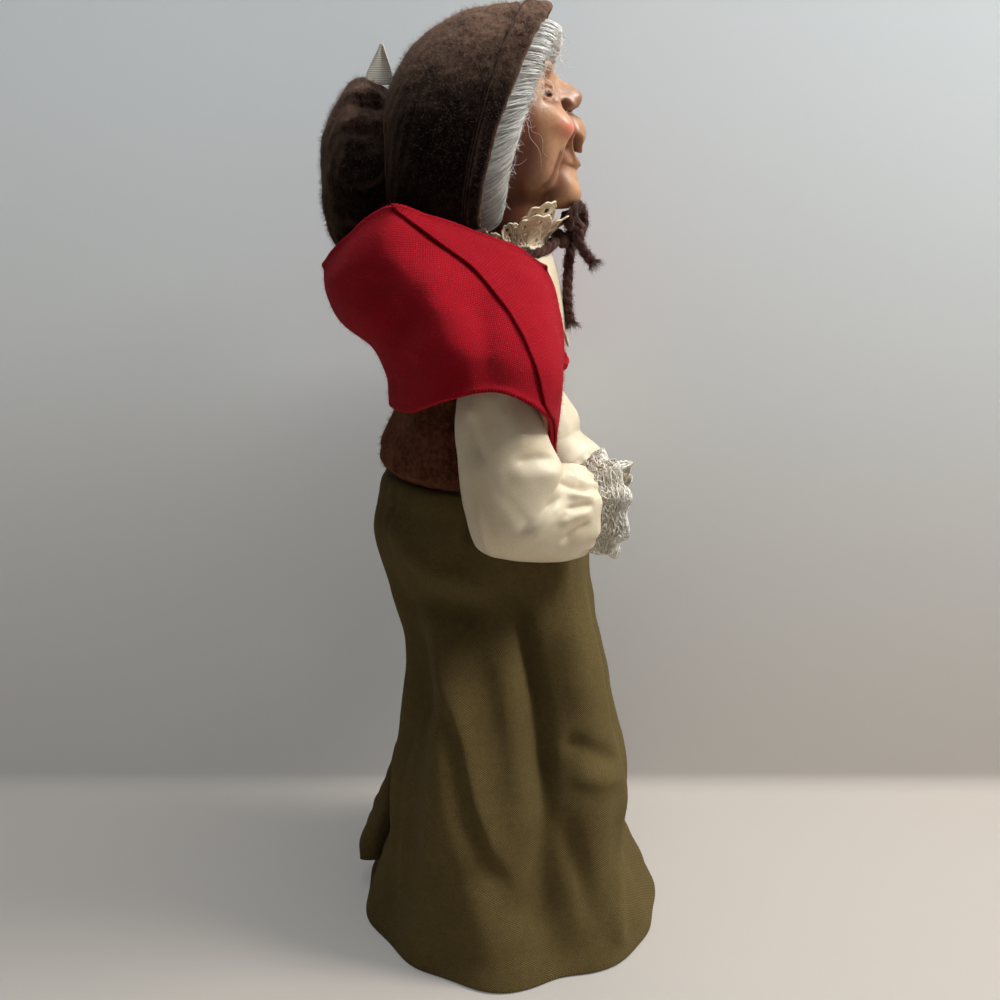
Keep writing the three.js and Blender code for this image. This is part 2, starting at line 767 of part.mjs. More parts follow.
// A point at an angle round the arm's middle line, at a share of its length.
function armFrame(path, share) {
  const middle = path.getPoint(share);
  const along = path.getTangent(share);
  const across = vec(1, 0, 0).addScaledVector(along, -along.x).normalize();
  const up = along.clone().cross(across);
  return (angle, halfWidth, halfHeight) => middle.clone()
    .addScaledVector(across, halfWidth * Math.cos(angle))
    .addScaledVector(up, -halfHeight * Math.sin(angle));
}

// Sleeve: it starts just below the shoulder, where it grips the arm. Shares of its length, and how
// far it has widened from the grip to its half width and half height.
const sleeveStartShare = 0.05;
const sleeveShares = [[0, 0, 0], [0.2, 0.8, 0.55], [0.4, 1, 0.75], [0.6, 1, 0.91], [0.8, 0.96, 1],
  [0.94, 0.7, 0.86], [1, 0.35, 0.6]];
const sleeveGrip = armRadius + seatGap + satinThickness;
function sleeve(arm) {
  const path = armPath(arm);
  return clothSolid((u, v) => {
    const [wide, high] = tableAt(sleeveShares, v);
    const share = sleeveStartShare + (1 - sleeveStartShare) * v;
    return armFrame(path, share)(2 * Math.PI * u, THREE.MathUtils.lerp(sleeveGrip, sleeveHalfWidth, wide),
      THREE.MathUtils.lerp(sleeveGrip, sleeveHalfHeight, high));
  }, 14, 12, satinThickness, true);
}

// Lace cuff: a frill that flares from the sleeve's end, with ruffles that deepen to its edge.
const ruffleCount = 9;
const cuffSeatShare = 0.7;
const cuffWidthShare = 0.8;
function laceCuff(arm) {
  const path = armPath(arm);
  const along = path.getTangent(1);
  const end = armFrame(path, 1);
  return clothSolid((u, v) => {
    const angle = 2 * Math.PI * u;
    const ruffle = cuffRuffle * v * Math.cos(ruffleCount * angle);
    const seat = sleeveHalfHeight * cuffSeatShare;
    const high = seat + (cuffRadius - seat) * Math.sin(0.5 * Math.PI * v);
    const wide = high * cuffWidthShare;
    return end(angle, wide + ruffle, high + ruffle)
      .addScaledVector(along, seatGap + cuffLength * v);
  }, 4 * ruffleCount, 2, laceThickness, true);
}

// Padded arms: a ball at the forearm's end turns in a cup at the upper arm's end. Shares of the
// arm's length where the upper arm ends and the forearm starts and ends, and of their radii.
const upperEndShare = 0.57;
const forearmStartShare = 0.64;
const wristShare = 0.93;
const upperTaperShare = 0.9;
const forearmTaperShare = 0.75;
const ballNeckShare = 0.6;
function paddedArm(arm) {
  const path = armPath(arm);
  const pivot = path.getPoint(elbowShare);
  const ball = (radius) => new THREE.SphereGeometry(radius, 10, 7).translate(pivot.x, pivot.y, pivot.z);
  const limb = (from, to, start, end) => {
    const sections = 4;
    const rings = [];
    for (let j = 0; j <= sections; j += 1) {
      const share = from + (to - from) * (j / sections);
      const radius = start + (end - start) * (j / sections);
      const frame = armFrame(path, share);
      const ring = [];
      for (let k = 0; k < limbSides; k += 1) {
        ring.push(frame((2 * Math.PI * k) / limbSides, radius, radius));
      }
      rings.push(ring);
    }
    return stackRings(rings);
  };
  const shoulder = path.getPoint(0);
  const cap = new THREE.SphereGeometry(armRadius, limbSides, 6).translate(shoulder.x, shoulder.y, shoulder.z);
  const upper = limb(0, upperEndShare, armRadius, armRadius * upperTaperShare);
  const lower = limb(forearmStartShare, wristShare, elbowBallRadius * ballNeckShare,
    armRadius * forearmTaperShare);
  return {
    upper: cut(join(upper, cap), ball(elbowBallRadius + cupClearance), shoulderBore),
    lower: join(lower, ball(elbowBallRadius)),
  };
}

// Hand: a small mitten with its thumb, at the forearm's end. Shares of the hand's half length: the
// palm's thickness and width, and the thumb's length, thickness, width and height on the palm.
const palmShares = [0.42, 0.62];
const thumbShares = [0.48, 0.22, 0.24, 0.56];
function hand(arm) {
  const path = armPath(arm);
  const along = path.getTangent(wristShare);
  const half = 0.5 * handLength;
  const middle = path.getPoint(wristShare).addScaledVector(along, seatGap + half);
  const turn = new THREE.Quaternion().setFromUnitVectors(vec(0, 1, 0), along);
  const palm = new THREE.SphereGeometry(half, limbSides, 8);
  palm.scale(palmShares[0], 1, palmShares[1]).applyQuaternion(turn);
  palm.translate(middle.x, middle.y, middle.z);
  const thumb = new THREE.SphereGeometry(half, 8, 6);
  thumb.scale(thumbShares[1], thumbShares[0], thumbShares[2]).applyQuaternion(turn);
  thumb.translate(middle.x, middle.y, middle.z + half * thumbShares[3]);
  return join(palm, thumb);
}

for (const [label, arm] of Object.entries(arms)) {
  const padded = paddedArm(arm);
  addPiece(`upper_arm_${label}`, padded.upper, 'paper');
  addPiece(`forearm_${label}`, padded.lower, 'paper');
  addPiece(`hand_${label}`, hand(arm), 'skin');
  addPiece(`sleeve_${label}`, sleeve(arm), 'satin');
  addPiece(`lace_cuff_${label}`, laceCuff(arm), 'lace');
}
addPiece('blouse_front', blouseFront(), 'satin');

// Neck: padding wound on the spine wire, which carries the head.
function neck(offset) {
  const radius = neckRadius + offset;
  const heights = [coreTop + seatGap - offset, neckTop + offset];
  return stackRings(heights.map((z) => ovalRing(radius, radius, neckY, z, 18)));
}

// Head: an egg-shaped skull, face and chin that melt into one another.
const lumps = [
  { y: headY, z: headHeight, size: [skullHalfWidth, skullHalfDepth, skullHalfHeight] },
  { y: headY - faceReach, z: headHeight - faceDrop, size: [faceHalfWidth, faceHalfDepth, faceHalfHeight] },
  { y: headY - chinReach, z: headHeight - chinDrop, size: [chinRadius, chinRadius, chinRadius] },
];
function lumpField(point) {
  const near = lumps.reduce((sum, { y, z, size }) => {
    const out = Math.hypot(point.x / size[0], (point.y - y) / size[1], (point.z - z) / size[2]) - 1;
    return sum + Math.exp((-out * Math.min(...size)) / faceBlend * 2);
  }, 0);
  return -Math.log(near);
}

// Features: turn from the face's middle and lift in degrees, their widths, and the share of the
// feature height. The turned ones are on both sides.
const featureShares = [
  [20, 26, 14, 6, 0.35],
  [28, 8, 10, 8, -0.5],
  [26, -14, 10, 11, 0.7],
  [15, -22, 4, 7, -0.4],
  [21, -40, 4, 8, -0.3],
];
// Profile of the face's middle: lift in degrees, its reach in shares of the skull's half height, and
// the degrees over which it passes into the rounded face.
const profileShares = [
  [-75, 1.15, 24],
  [-60, 1.45, 26],
  [-52.5, 1.6, 26],
  [-47, 1.67, 24],
  [-42, 1.63, 20],
  [-38, 1.46, 18],
  [-35, 1.38, 15],
  [-31, 1.38, 12],
  [-27.5, 1.3, 14],
  [-23, 1.34, 17],
  [-16, 1.315, 17],
  [-8.5, 1.22, 13],
  [-4.3, 1.08, 9],
  [-0.5, 1.158, 9],
  [4.6, 1.2, 9],
  [9, 1.154, 9],
  [19, 0.962, 10],
  [35, 0.88, 20],
];
// The profile fades out between these lifts, in degrees, below the chin and above the brow.
const profileFadeShares = [-75, -60, 35, 55];
function headReach(direction) {
  const centre = vec(0, headY, headHeight);
  let near = 0;
  let far = 2 * (skullHalfHeight + skullHalfDepth);
  for (let step = 0; step < 30; step += 1) {
    const middle = 0.5 * (near + far);
    if (lumpField(centre.clone().addScaledVector(direction, middle)) < 0) {
      near = middle;
    } else {
      far = middle;
    }
  }
  return near;
}
function headPoint(turn, lift, offset) {
  const toward = (angle) => vec(Math.sin(angle) * Math.cos(lift), -Math.cos(angle) * Math.cos(lift),
    Math.sin(lift));
  const turnDegrees = Math.abs(THREE.MathUtils.radToDeg(turn));
  const liftDegrees = THREE.MathUtils.radToDeg(lift);
  const features = featureShares.reduce((sum, [atTurn, atLift, wide, high, share]) => (
    sum + share * bump((turnDegrees - atTurn) / wide) * bump((liftDegrees - atLift) / high)), 0);
  const [reach, width] = tableAt(profileShares, liftDegrees);
  const kept = THREE.MathUtils.smoothstep(liftDegrees, profileFadeShares[0], profileFadeShares[1])
    * (1 - THREE.MathUtils.smoothstep(liftDegrees, profileFadeShares[2], profileFadeShares[3]));
  const profile = (reach * skullHalfHeight - headReach(toward(0))) * bump(turnDegrees / width) * kept;
  const out = headReach(toward(turn)) + features * featureHeight + profile + offset;
  return vec(0, headY, headHeight).addScaledVector(toward(turn), out);
}

// The head's columns lie closer together at the face by this share.
const faceDetailShare = 0.45;
function headShape(columns, rows, offset) {
  const rings = [];
  for (let j = 1; j < rows; j += 1) {
    const lift = Math.PI * (j / rows - 0.5);
    const ring = [];
    for (let k = 0; k < columns; k += 1) {
      const even = (2 * Math.PI * k) / columns - Math.PI;
      ring.push(headPoint(even - faceDetailShare * Math.sin(even), lift, offset));
    }
    rings.push(ring);
  }
  return stackRings(rings);
}
const eyeBall = (side, radius) => new THREE.SphereGeometry(radius, 10, 7)
  .translate(side * eyeSpread, eyeY, eyeHeight);

// Columns and rows of the head, and of the plainer one that the hair is laid on.
const headGrid = [28, 24];
const hairSeatGrid = [20, 15];
addPiece('neck', cut(neck(0), spineBore), 'paper');
const head = cut(headShape(...headGrid, 0), neck(seatGap), spineBore, eyeBall(1, eyeRadius + seatGap),
  eyeBall(-1, eyeRadius + seatGap));
addPiece('head', head, 'skin');
addPiece('eye_right', eyeBall(-1, eyeRadius), 'eye');
addPiece('eye_left', eyeBall(1, eyeRadius), 'eye');

// Bonnet crown: shares from brim to back, with the shares of the half width and of the height
// above the middle, and the share of the depth that the top has reached.
const crownShares = [
  [0, 1, 1, 0],
  [0.25, 1.04, 1, 0.25],
  [0.5, 1.04, 0.955, 0.49],
  [0.72, 1, 0.8, 0.72],
  [0.9, 0.9, 0.57, 0.9],
  [1, 0.77, 0.37, 1],
];
const archReach = THREE.MathUtils.degToRad(134);
function crownPoint(angle, along, inset) {
  const [wide, high, back] = tableAt(crownShares, along);
  const rise = brimTop - brimMiddle;
  const up = Math.cos(angle) > 0 ? rise * high : rise;
  const z = brimMiddle + (up - inset) * Math.cos(angle);
  const fall = (brimTop - z) / (rise * (1 - Math.cos(archReach)));
  const tilt = brimTilt * (1 - (1 - Math.min(fall, 1)) ** brimCurve) * (1 - along);
  const y = -brimFront + (brimFront + crownBack) * back + tilt;
  return vec((brimHalfWidth * wide - inset) * Math.sin(angle), y, z);
}
// The brim is folded back on itself: between these shares of the depth its step runs out.
const brimFoldShares = [0.16, 0.22];
function bonnetCrown() {
  const step = (v) => brimStep * (1 - THREE.MathUtils.smoothstep(v, ...brimFoldShares));
  return clothSolid((u, v) => crownPoint(archReach * (1 - 2 * u), v, -step(v)), 26, 11,
    (u, v) => feltThickness + step(v), false);
}
addPiece('bonnet_crown', bonnetCrown(), 'brown');

// Hair: a thick roll all along the inside of the brim, laid on the head.
const hairReachShare = 0.93;
function hair() {
  const rings = [];
  const reach = archReach * hairReachShare;
  const sections = 18;
  for (let j = 0; j <= sections; j += 1) {
    const angle = reach * (1 - (2 * j) / sections);
    const ring = [];
    for (let k = 0; k < limbSides; k += 1) {
      const turn = (2 * Math.PI * k) / limbSides;
      const inset = feltThickness + seatGap + hairHalfThickness * (1 - Math.sin(turn));
      const point = crownPoint(angle, 0, inset);
      const middle = 0.5 * (hairBack - hairForward);
      point.y += middle + 0.5 * (hairForward + hairBack) * Math.cos(turn);
      ring.push(point);
    }
    rings.push(ring);
  }
  return stackRings(rings);
}
addPiece('hair', cut(hair(), headShape(...hairSeatGrid, 3 * seatGap), neck(seatGap)), 'hair');

// Bonnet pouch: shares of its length, half width, half height and the drop of its middle.
const pouchShares = [
  [0, 0.95, 0.75, -0.07],
  [0.1, 0.98, 0.87, -0.01],
  [0.3, 1, 0.98, 0.03],
  [0.55, 1, 0.97, 0.05],
  [0.78, 0.86, 0.82, 0.12],
  [0.93, 0.6, 0.58, 0.16],
  [1, 0.25, 0.25, 0.16],
];
const gatherCount = 12;
function bonnetPouch(offset) {
  const sections = 8;
  const sides = 3 * gatherCount;
  const rings = [];
  for (let j = 0; j <= sections; j += 1) {
    const share = Math.sin(0.5 * Math.PI * (j / sections));
    const [wide, high, drop] = tableAt(pouchShares, share);
    const y = crownBack + seatGap - offset + (pouchLength + 2 * offset) * share;
    const ring = [];
    for (let k = 0; k < sides; k += 1) {
      const angle = (2 * Math.PI * k) / sides;
      const gather = gatherDepth * (1 - share) * Math.cos(gatherCount * angle);
      const x = (pouchHalfWidth * wide + gather + offset) * Math.cos(angle);
      const z = pouchMiddle - pouchHalfHeight * drop
        + (pouchHalfHeight * high + gather + offset) * Math.sin(angle);
      ring.push(vec(x, y, z));
    }
    rings.push(ring);
  }
  return stackRings(rings);
}
addPiece('bonnet_pouch', bonnetPouch(0), 'brown');

// Ribbon tail: a flat pointed end that stands in the crease between crown and pouch.
const ribbonShares = [[-0.35, 0], [0.65, 0], [0.5, 0.35], [0, 1], [-0.28, 0.4]];
function ribbonTail() {
  const corners = ribbonShares.map(([across, up]) => (
    new THREE.Vector2(across * ribbonWidth, up * ribbonHeight)));
  const outline = new THREE.Shape(corners);
  const flat = new THREE.ExtrudeGeometry(outline, { depth: ribbonThickness, bevelEnabled: false });
  flat.translate(0, 0, -0.5 * ribbonThickness);
  flat.rotateX(0.5 * Math.PI).rotateZ(0.5 * Math.PI);
  flat.translate(0, ribbonY, ribbonTop - ribbonHeight);
  return cut(flat, bonnetPouch(seatGap));
}
addPiece('ribbon_tail', ribbonTail(), 'satin');

// Lace collar: a ruffled frill that stands round the neck, flares to its top and is open in front.
const collarRuffles = 12;
const collarFootShare = 0.665;
const collarEdgeShare = 0.96;
function laceCollar() {
  const opening = THREE.MathUtils.degToRad(collarOpening);
  return clothSolid((u, v) => {
    const angle = opening + (2 * Math.PI - 2 * opening) * u;
    const ruffle = collarRuffle * v * Math.cos(2 * Math.PI * collarRuffles * u);
    const flare = collarFootShare + (collarEdgeShare - collarFootShare) * v;
    const radius = collarRadius * flare + ruffle;
    return ovalPoint(angle, radius, radius, neckY, THREE.MathUtils.lerp(collarBottom, collarTop, v));
  }, 4 * collarRuffles, 3, laceThickness, false);
}
addPiece('lace_collar', laceCollar(), 'lace');

// Bonnet tie: a strap from each lower corner of the brim to the knot, a bow and a hanging end.
const knotPlace = vec(0, knotY, knotHeight);
addPiece('tie_knot', new THREE.SphereGeometry(knotRadius, 10, 7)
  .translate(knotPlace.x, knotPlace.y, knotPlace.z), 'yarn');
// Routes of the yarn: their heights are over the knot's middle.
const strapRoute = [
  [20.8, 8.6, 2.7], [20.6, 0, -0.1], [18.2, -6, -2.1], [14.6, -10.8, -2.7], [9.5, -15.6, -2.3],
  [3.7, -19.6, -0.5],
];
const bowRoute = [
  [-2.4, -23.3, 3.1], [-4.3, -22.4, 5.7], [-4.7, -24.2, 7.4], [-4, -27, 7.4], [-2.7, -29, 5.1],
  [-1.6, -28.8, 2.1], [-0.8, -27.4, -0.7], [-0.3, -28.4, -3.7], [0.3, -30.4, -6.5], [0.9, -32.6, -8.9],
];
const endRoute = [
  [3.9, -23.2, 2.5], [4.7, -24.6, -0.3], [3.4, -25.6, -3.9], [1, -25.2, -8.3], [-0.8, -24.6, -14.5],
  [-1.2, -24, -20.5], [-1, -24.4, -25.5], [-1.2, -25.2, -29],
];
const routePoints = (route, side = 1) => route.map(([x, y, z]) => (
  vec(side * x, y, knotHeight + z)));
addPiece('tie_strap_right', tubeAlong(routePoints(strapRoute, -1), yarnRadius, 8, 9), 'yarn');
addPiece('tie_strap_left', tubeAlong(routePoints(strapRoute), yarnRadius, 8, 9), 'yarn');
addPiece('tie_bow', tubeAlong(routePoints(bowRoute), yarnRadius, 8, 16), 'yarn');
addPiece('tie_end', tubeAlong(routePoints(endRoute), yarnRadius, 8, 10), 'yarn');

export default doll;
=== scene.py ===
import math

import bpy
import numpy as np
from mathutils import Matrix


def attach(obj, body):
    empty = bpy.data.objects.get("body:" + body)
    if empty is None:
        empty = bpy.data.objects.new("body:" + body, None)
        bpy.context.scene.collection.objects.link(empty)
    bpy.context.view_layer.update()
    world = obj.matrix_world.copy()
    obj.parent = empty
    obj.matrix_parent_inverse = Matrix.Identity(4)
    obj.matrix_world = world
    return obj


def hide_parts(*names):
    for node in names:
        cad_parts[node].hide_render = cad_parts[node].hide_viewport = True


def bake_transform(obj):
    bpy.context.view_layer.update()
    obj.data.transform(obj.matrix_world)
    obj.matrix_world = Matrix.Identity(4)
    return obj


# A caroler doll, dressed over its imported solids. It faces -Y and its right side is at -X. Shapes are
# worked out in millimetres and written to the meshes in metres.
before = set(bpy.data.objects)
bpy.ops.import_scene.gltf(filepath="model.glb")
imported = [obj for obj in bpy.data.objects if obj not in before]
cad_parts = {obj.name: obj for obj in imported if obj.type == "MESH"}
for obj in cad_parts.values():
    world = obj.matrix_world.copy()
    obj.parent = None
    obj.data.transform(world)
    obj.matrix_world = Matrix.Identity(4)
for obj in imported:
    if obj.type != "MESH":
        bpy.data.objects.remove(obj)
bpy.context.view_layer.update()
MM = 0.001


# Numbers and curves


def unit(vectors):
    """Vectors divided by their length."""
    return vectors / np.maximum(np.linalg.norm(vectors, axis=-1, keepdims=True), 1e-9)


def smoothstep(value, low, high):
    """0 below low, 1 above high, and 3t^2 - 2t^3 between."""
    t = np.clip((value - low) / (high - low), 0, 1)
    return t * t * (3 - 2 * t)


def bell(value):
    """exp(-value^2)."""
    return np.exp(-value * value)


def lerp(first, second, share):
    """The first value at share 0 and the second at 1, in a straight line between."""
    return first + (second - first) * share


def table_at(shares, position):
    """The columns of a table at the positions: cubic Hermite curves through its rows, with the slope
    at a row taken between the rows beside it."""
    table = np.asarray(shares, float)
    last = len(table) - 1
    at = np.clip(np.asarray(position, float), table[0, 0], table[last, 0])
    row = np.clip(np.searchsorted(table[:, 0], at, side="left") - 1, 0, last - 1)
    start, end = table[row], table[row + 1]
    before, after = table[np.maximum(row - 1, 0)], table[np.minimum(row + 2, last)]
    span = (end - start)[..., :1]
    t = (at[..., None] - start[..., :1]) / span
    slope_in = (end - before) / (end - before)[..., :1]
    slope_out = (after - start) / (after - start)[..., :1]
    values = (
        (2 * t**3 - 3 * t**2 + 1) * start
        + (t**3 - 2 * t**2 + t) * span * slope_in
        + (3 * t**2 - 2 * t**3) * end
        + (t**3 - t**2) * span * slope_out
    )
    return np.moveaxis(values[..., 1:], -1, 0)


def waves(points, size, seed, count=14):
    """A smooth uneven field of about -1 to 1: a sum of sine waves in seeded directions, whose
    lengths are near size."""
    rng = np.random.default_rng(seed)
    ways = unit(rng.normal(size=(count, points.shape[-1])))
    ways *= 2 * np.pi / (size * rng.uniform(0.7, 1.5, (count, 1)))
    return np.sin(points @ ways.T + rng.uniform(0, 6.28, count)).sum(-1) * math.sqrt(2 / count) * 0.6


def through(points, shares):
    """A centripetal Catmull-Rom curve through the points, at shares of its spans."""
    points = np.asarray(points, float)
    ends = [2 * points[0] - points[1], *points, 2 * points[-1] - points[-2]]
    knots = np.array(ends)
    steps = np.sqrt(np.linalg.norm(np.diff(knots, axis=0), axis=1))
    place = np.clip(np.asarray(shares, float), 0, 1) * (len(points) - 1)
    span = np.minimum(place.astype(int), len(points) - 2)
    t = (place - span)[..., None]
    a, b, c, d = (knots[span + k] for k in range(4))
    ab, bc, cd = (steps[span + k][..., None] for k in range(3))
    leave = bc * ((b - a) / ab - (c - a) / (ab + bc) + (c - b) / bc)
    arrive = bc * ((c - b) / bc - (d - b) / (bc + cd) + (d - c) / cd)
    square = 3 * (c - b) - 2 * leave - arrive
    cube = 2 * (b - c) + leave + arrive
    return b + t * (leave + t * (square + t * cube))


def ring(angle, half_width, half_depth, shift, z):
    """A point of an upright oval. Angle 0 is the front and a quarter turn is the right side."""
    x, y = -half_width * np.sin(angle), shift - half_depth * np.cos(angle)
    return np.stack(np.broadcast_arrays(x, y, z), -1).astype(float)


def grid(rows, columns, closed=False):
    """Shares v down the rows and u across the columns of a surface grid."""
    u = np.arange(columns) / (columns if closed else columns - 1)
    return np.meshgrid(np.linspace(0, 1, rows), u, indexing="ij")


def spans(x, y, route):
    """The straight spans of a line of points: each one's way, the share of it that is nearest to each
    place, and how far the place lies from there in x and in y."""
    for (x0, y0), (x1, y1) in zip(route[:-1], route[1:]):
        way = np.array([x1 - x0, y1 - y0], float)
        share = np.clip(((x - x0) * way[0] + (y - y0) * way[1]) / (way @ way), 0, 1)
        yield way, share, x - x0 - share * way[0], y - y0 - share * way[1]


# Meshes


def make_piece(name, points, faces, finish, uv=None, marks=None):
    """A mesh object from points in millimetres and blocks of faces. uv has a row for each corner of
    the faces, and marks a number for each point."""
    mesh = bpy.data.meshes.new(name)
    points = np.asarray(points, float).reshape(-1, 3)
    corners = np.concatenate([block.ravel() for block in faces]).astype(np.int32)
    sizes = np.concatenate([np.full(len(block), block.shape[1]) for block in faces])
    mesh.vertices.add(len(points))
    mesh.vertices.foreach_set("co", (points * MM).ravel())
    mesh.loops.add(len(corners))
    mesh.loops.foreach_set("vertex_index", corners)
    mesh.polygons.add(len(sizes))
    mesh.polygons.foreach_set("loop_start", (np.cumsum(sizes) - sizes).astype(np.int32))
    mesh.update(calc_edges=True)
    if uv is not None:
        layer = mesh.uv_layers.new(name="cloth")
        layer.data.foreach_set("uv", np.asarray(uv, float).ravel())
    for key, values in (marks or {}).items():
        mark = mesh.attributes.new(key, "FLOAT", "POINT")
        mark.data.foreach_set("value", np.asarray(values, float).ravel())
    mesh.shade_smooth()
    mesh.materials.append(finish)
    piece = bpy.data.objects.new(name, mesh)
    bpy.context.scene.collection.objects.link(piece)
    return piece


def grid_faces(rows, columns, round_rows, round_columns):
    """Four-cornered faces of a grid whose points run row by row, with the row and column numbers of
    their corners. A round direction joins its last points to its first."""
    r, c = np.meshgrid(
        np.arange(rows if round_rows else rows - 1),
        np.arange(columns if round_columns else columns - 1),
        indexing="ij",
    )
    r = np.stack([r, r, r + 1, r + 1], -1).reshape(-1, 4)
    c = np.stack([c, c + 1, c + 1, c], -1).reshape(-1, 4)
    return (r % rows) * columns + c % columns, r, c


def slopes(surface, closed):
    """Differences of a surface grid along its columns and its rows."""
    if closed:
        across = (np.roll(surface, -1, axis=1) - np.roll(surface, 1, axis=1)) / 2
    else:
        across = np.gradient(surface, axis=1)
    return across, np.gradient(surface, axis=0)


def turned(blocks, uv):
    """Blocks of faces and their uv rows, with the corners of every face in the opposite order."""
    uv = [part.reshape(len(block), -1, 2)[:, ::-1].reshape(-1, 2) for part, block in zip(uv, blocks)]
    return [block[:, ::-1] for block in blocks], uv


def cloth(name, surface, thickness, finish, closed=False, marks=None):
    """A closed wall of cloth. surface is its outer face, a grid of rows and columns. The wall goes
    down the outer face, half round its edge, up the inner face at the thickness, and half round
    again. Where the columns aren't closed, the wall narrows in a quarter circle past both ends."""
    thickness = np.broadcast_to(thickness, surface.shape[:2]).astype(float)
    across, down = slopes(surface, closed)
    out = -unit(np.cross(across, down))
    shrink = np.ones(surface.shape[1])
    if not closed:
        bend = np.array([0.45, 0.8, 0.97])
        reach = thickness[:, :1, None] * bend[None, ::-1, None] * 0.5
        left = surface[:, :1] - unit(across[:, :1]) * reach
        reach = thickness[:, -1:, None] * bend[None, :, None] * 0.5
        right = surface[:, -1:] + unit(across[:, -1:]) * reach
        surface = np.concatenate([left, surface, right], 1)
        shrink = np.sqrt(1 - np.concatenate([bend[::-1], 0 * shrink, bend]) ** 2)
        thickness, out, down = (
            np.concatenate([np.repeat(part[:, :1], 3, 1), part, np.repeat(part[:, -1:], 3, 1)], 1)
            for part in (thickness, out, down)
        )
    half = (0.5 * thickness)[..., None]
    middle = surface - out * half
    half = half * shrink[None, :, None]
    rows, columns = surface.shape[:2]
    steps = 3
    bend = (np.linspace(0, np.pi, steps + 2)[1:-1])[:, None, None]
    top = middle[-1] + half[-1] * (out[-1] * np.cos(bend) + unit(down[-1]) * np.sin(bend))
    foot = middle[0] + half[0] * (-out[0] * np.cos(bend) - unit(down[0]) * np.sin(bend))
    loop = np.concatenate([middle + out * half, top, (middle - out * half)[::-1], foot])
    faces, r, c = grid_faces(len(loop), columns, True, closed)
    blocks = [faces]
    u = np.linalg.norm(slopes(surface, closed)[0], axis=-1).mean(0)
    u = np.concatenate([[0], np.cumsum(u)])
    v = np.concatenate([[0], np.cumsum(np.linalg.norm(np.diff(surface, axis=0), axis=-1).mean(1))])
    v = np.concatenate([v, np.full(steps, v[-1]), v[::-1], np.full(steps, v[0]), v[:1]])
    uv = [np.stack([u[c], v[r]], -1).reshape(-1, 2)]
    if not closed:
        inner = 2 * rows + steps - 1 - np.arange(rows)
        sides = np.stack([np.arange(rows - 1), np.arange(1, rows), inner[1:], inner[:-1]], -1)
        rim = np.arange(rows - 1, rows + steps + 1)
        rims = np.stack([rim, np.append(np.arange(inner[0], len(loop)), 0)])
        for block in (sides, rims):
            blocks += [block * columns, block[:, ::-1] * columns + columns - 1]
            uv += [np.stack([0 * v[block], v[block]], -1).reshape(-1, 2)] * 2
    points = loop.reshape(-1, 3)
    a, b, c, d = (points[faces[:, k]] for k in range(4))
    if (np.cross(c - a, d - b) * (a + c)).sum() < 0:
        blocks, uv = turned(blocks, uv)
    spread = {}
    for key, part in (marks or {}).items():
        part = np.pad(part, ((0, 0), (0, 0) if closed else (3, 3)), "edge")
        first, last = np.repeat(part[:1], steps, 0), np.repeat(part[-1:], steps, 0)
        spread[key] = np.concatenate([part, last, part[::-1], first])
    return make_piece(name, points, blocks, finish, np.concatenate(uv), spread)


def body(name, rings, finish, marks=None):
    """A closed body through rings of points, with a pole at the middle of each end ring."""
    rows, columns = rings.shape[:2]
    faces, r, c = grid_faces(rows, columns, False, True)
    points = rings.reshape(-1, 3)
    poles = np.stack([rings[0].mean(0), rings[-1].mean(0)])
    around = np.arange(columns)
    after = (around + 1) % columns
    first, last = rows * columns, rows * columns + 1
    start = np.stack([np.full(columns, first), after, around], -1)
    end = np.stack([np.full(columns, last), around, after], -1)
    end[:, 1:] += (rows - 1) * columns
    blocks = [faces, start, end]
    u = np.concatenate([[0], np.cumsum(np.linalg.norm(slopes(rings, True)[0], axis=-1).mean(0))])
    v = np.concatenate([[0], np.cumsum(np.linalg.norm(np.diff(rings, axis=0), axis=-1).mean(1))])
    side = np.stack([u[c], v[r]], -1).reshape(-1, 2)
    caps = [np.stack([np.repeat(u[around], 3), np.full(3 * columns, v[k])], -1) for k in (0, -1)]
    points = np.concatenate([points, poles])
    uv = [side, *caps]
    a, b, c, d = (points[faces[:, k]] for k in range(4))
    if (np.cross(c - a, d - b) * (a + c - 2 * points.mean(0))).sum() < 0:
        blocks, uv = turned(blocks, uv)
    if marks:
        marks = {
            key: np.concatenate([part.ravel(), [part[0].mean(), part[-1].mean()]])
            for key, part in marks.items()
        }
    return make_piece(name, points, blocks, finish, np.concatenate(uv), marks)


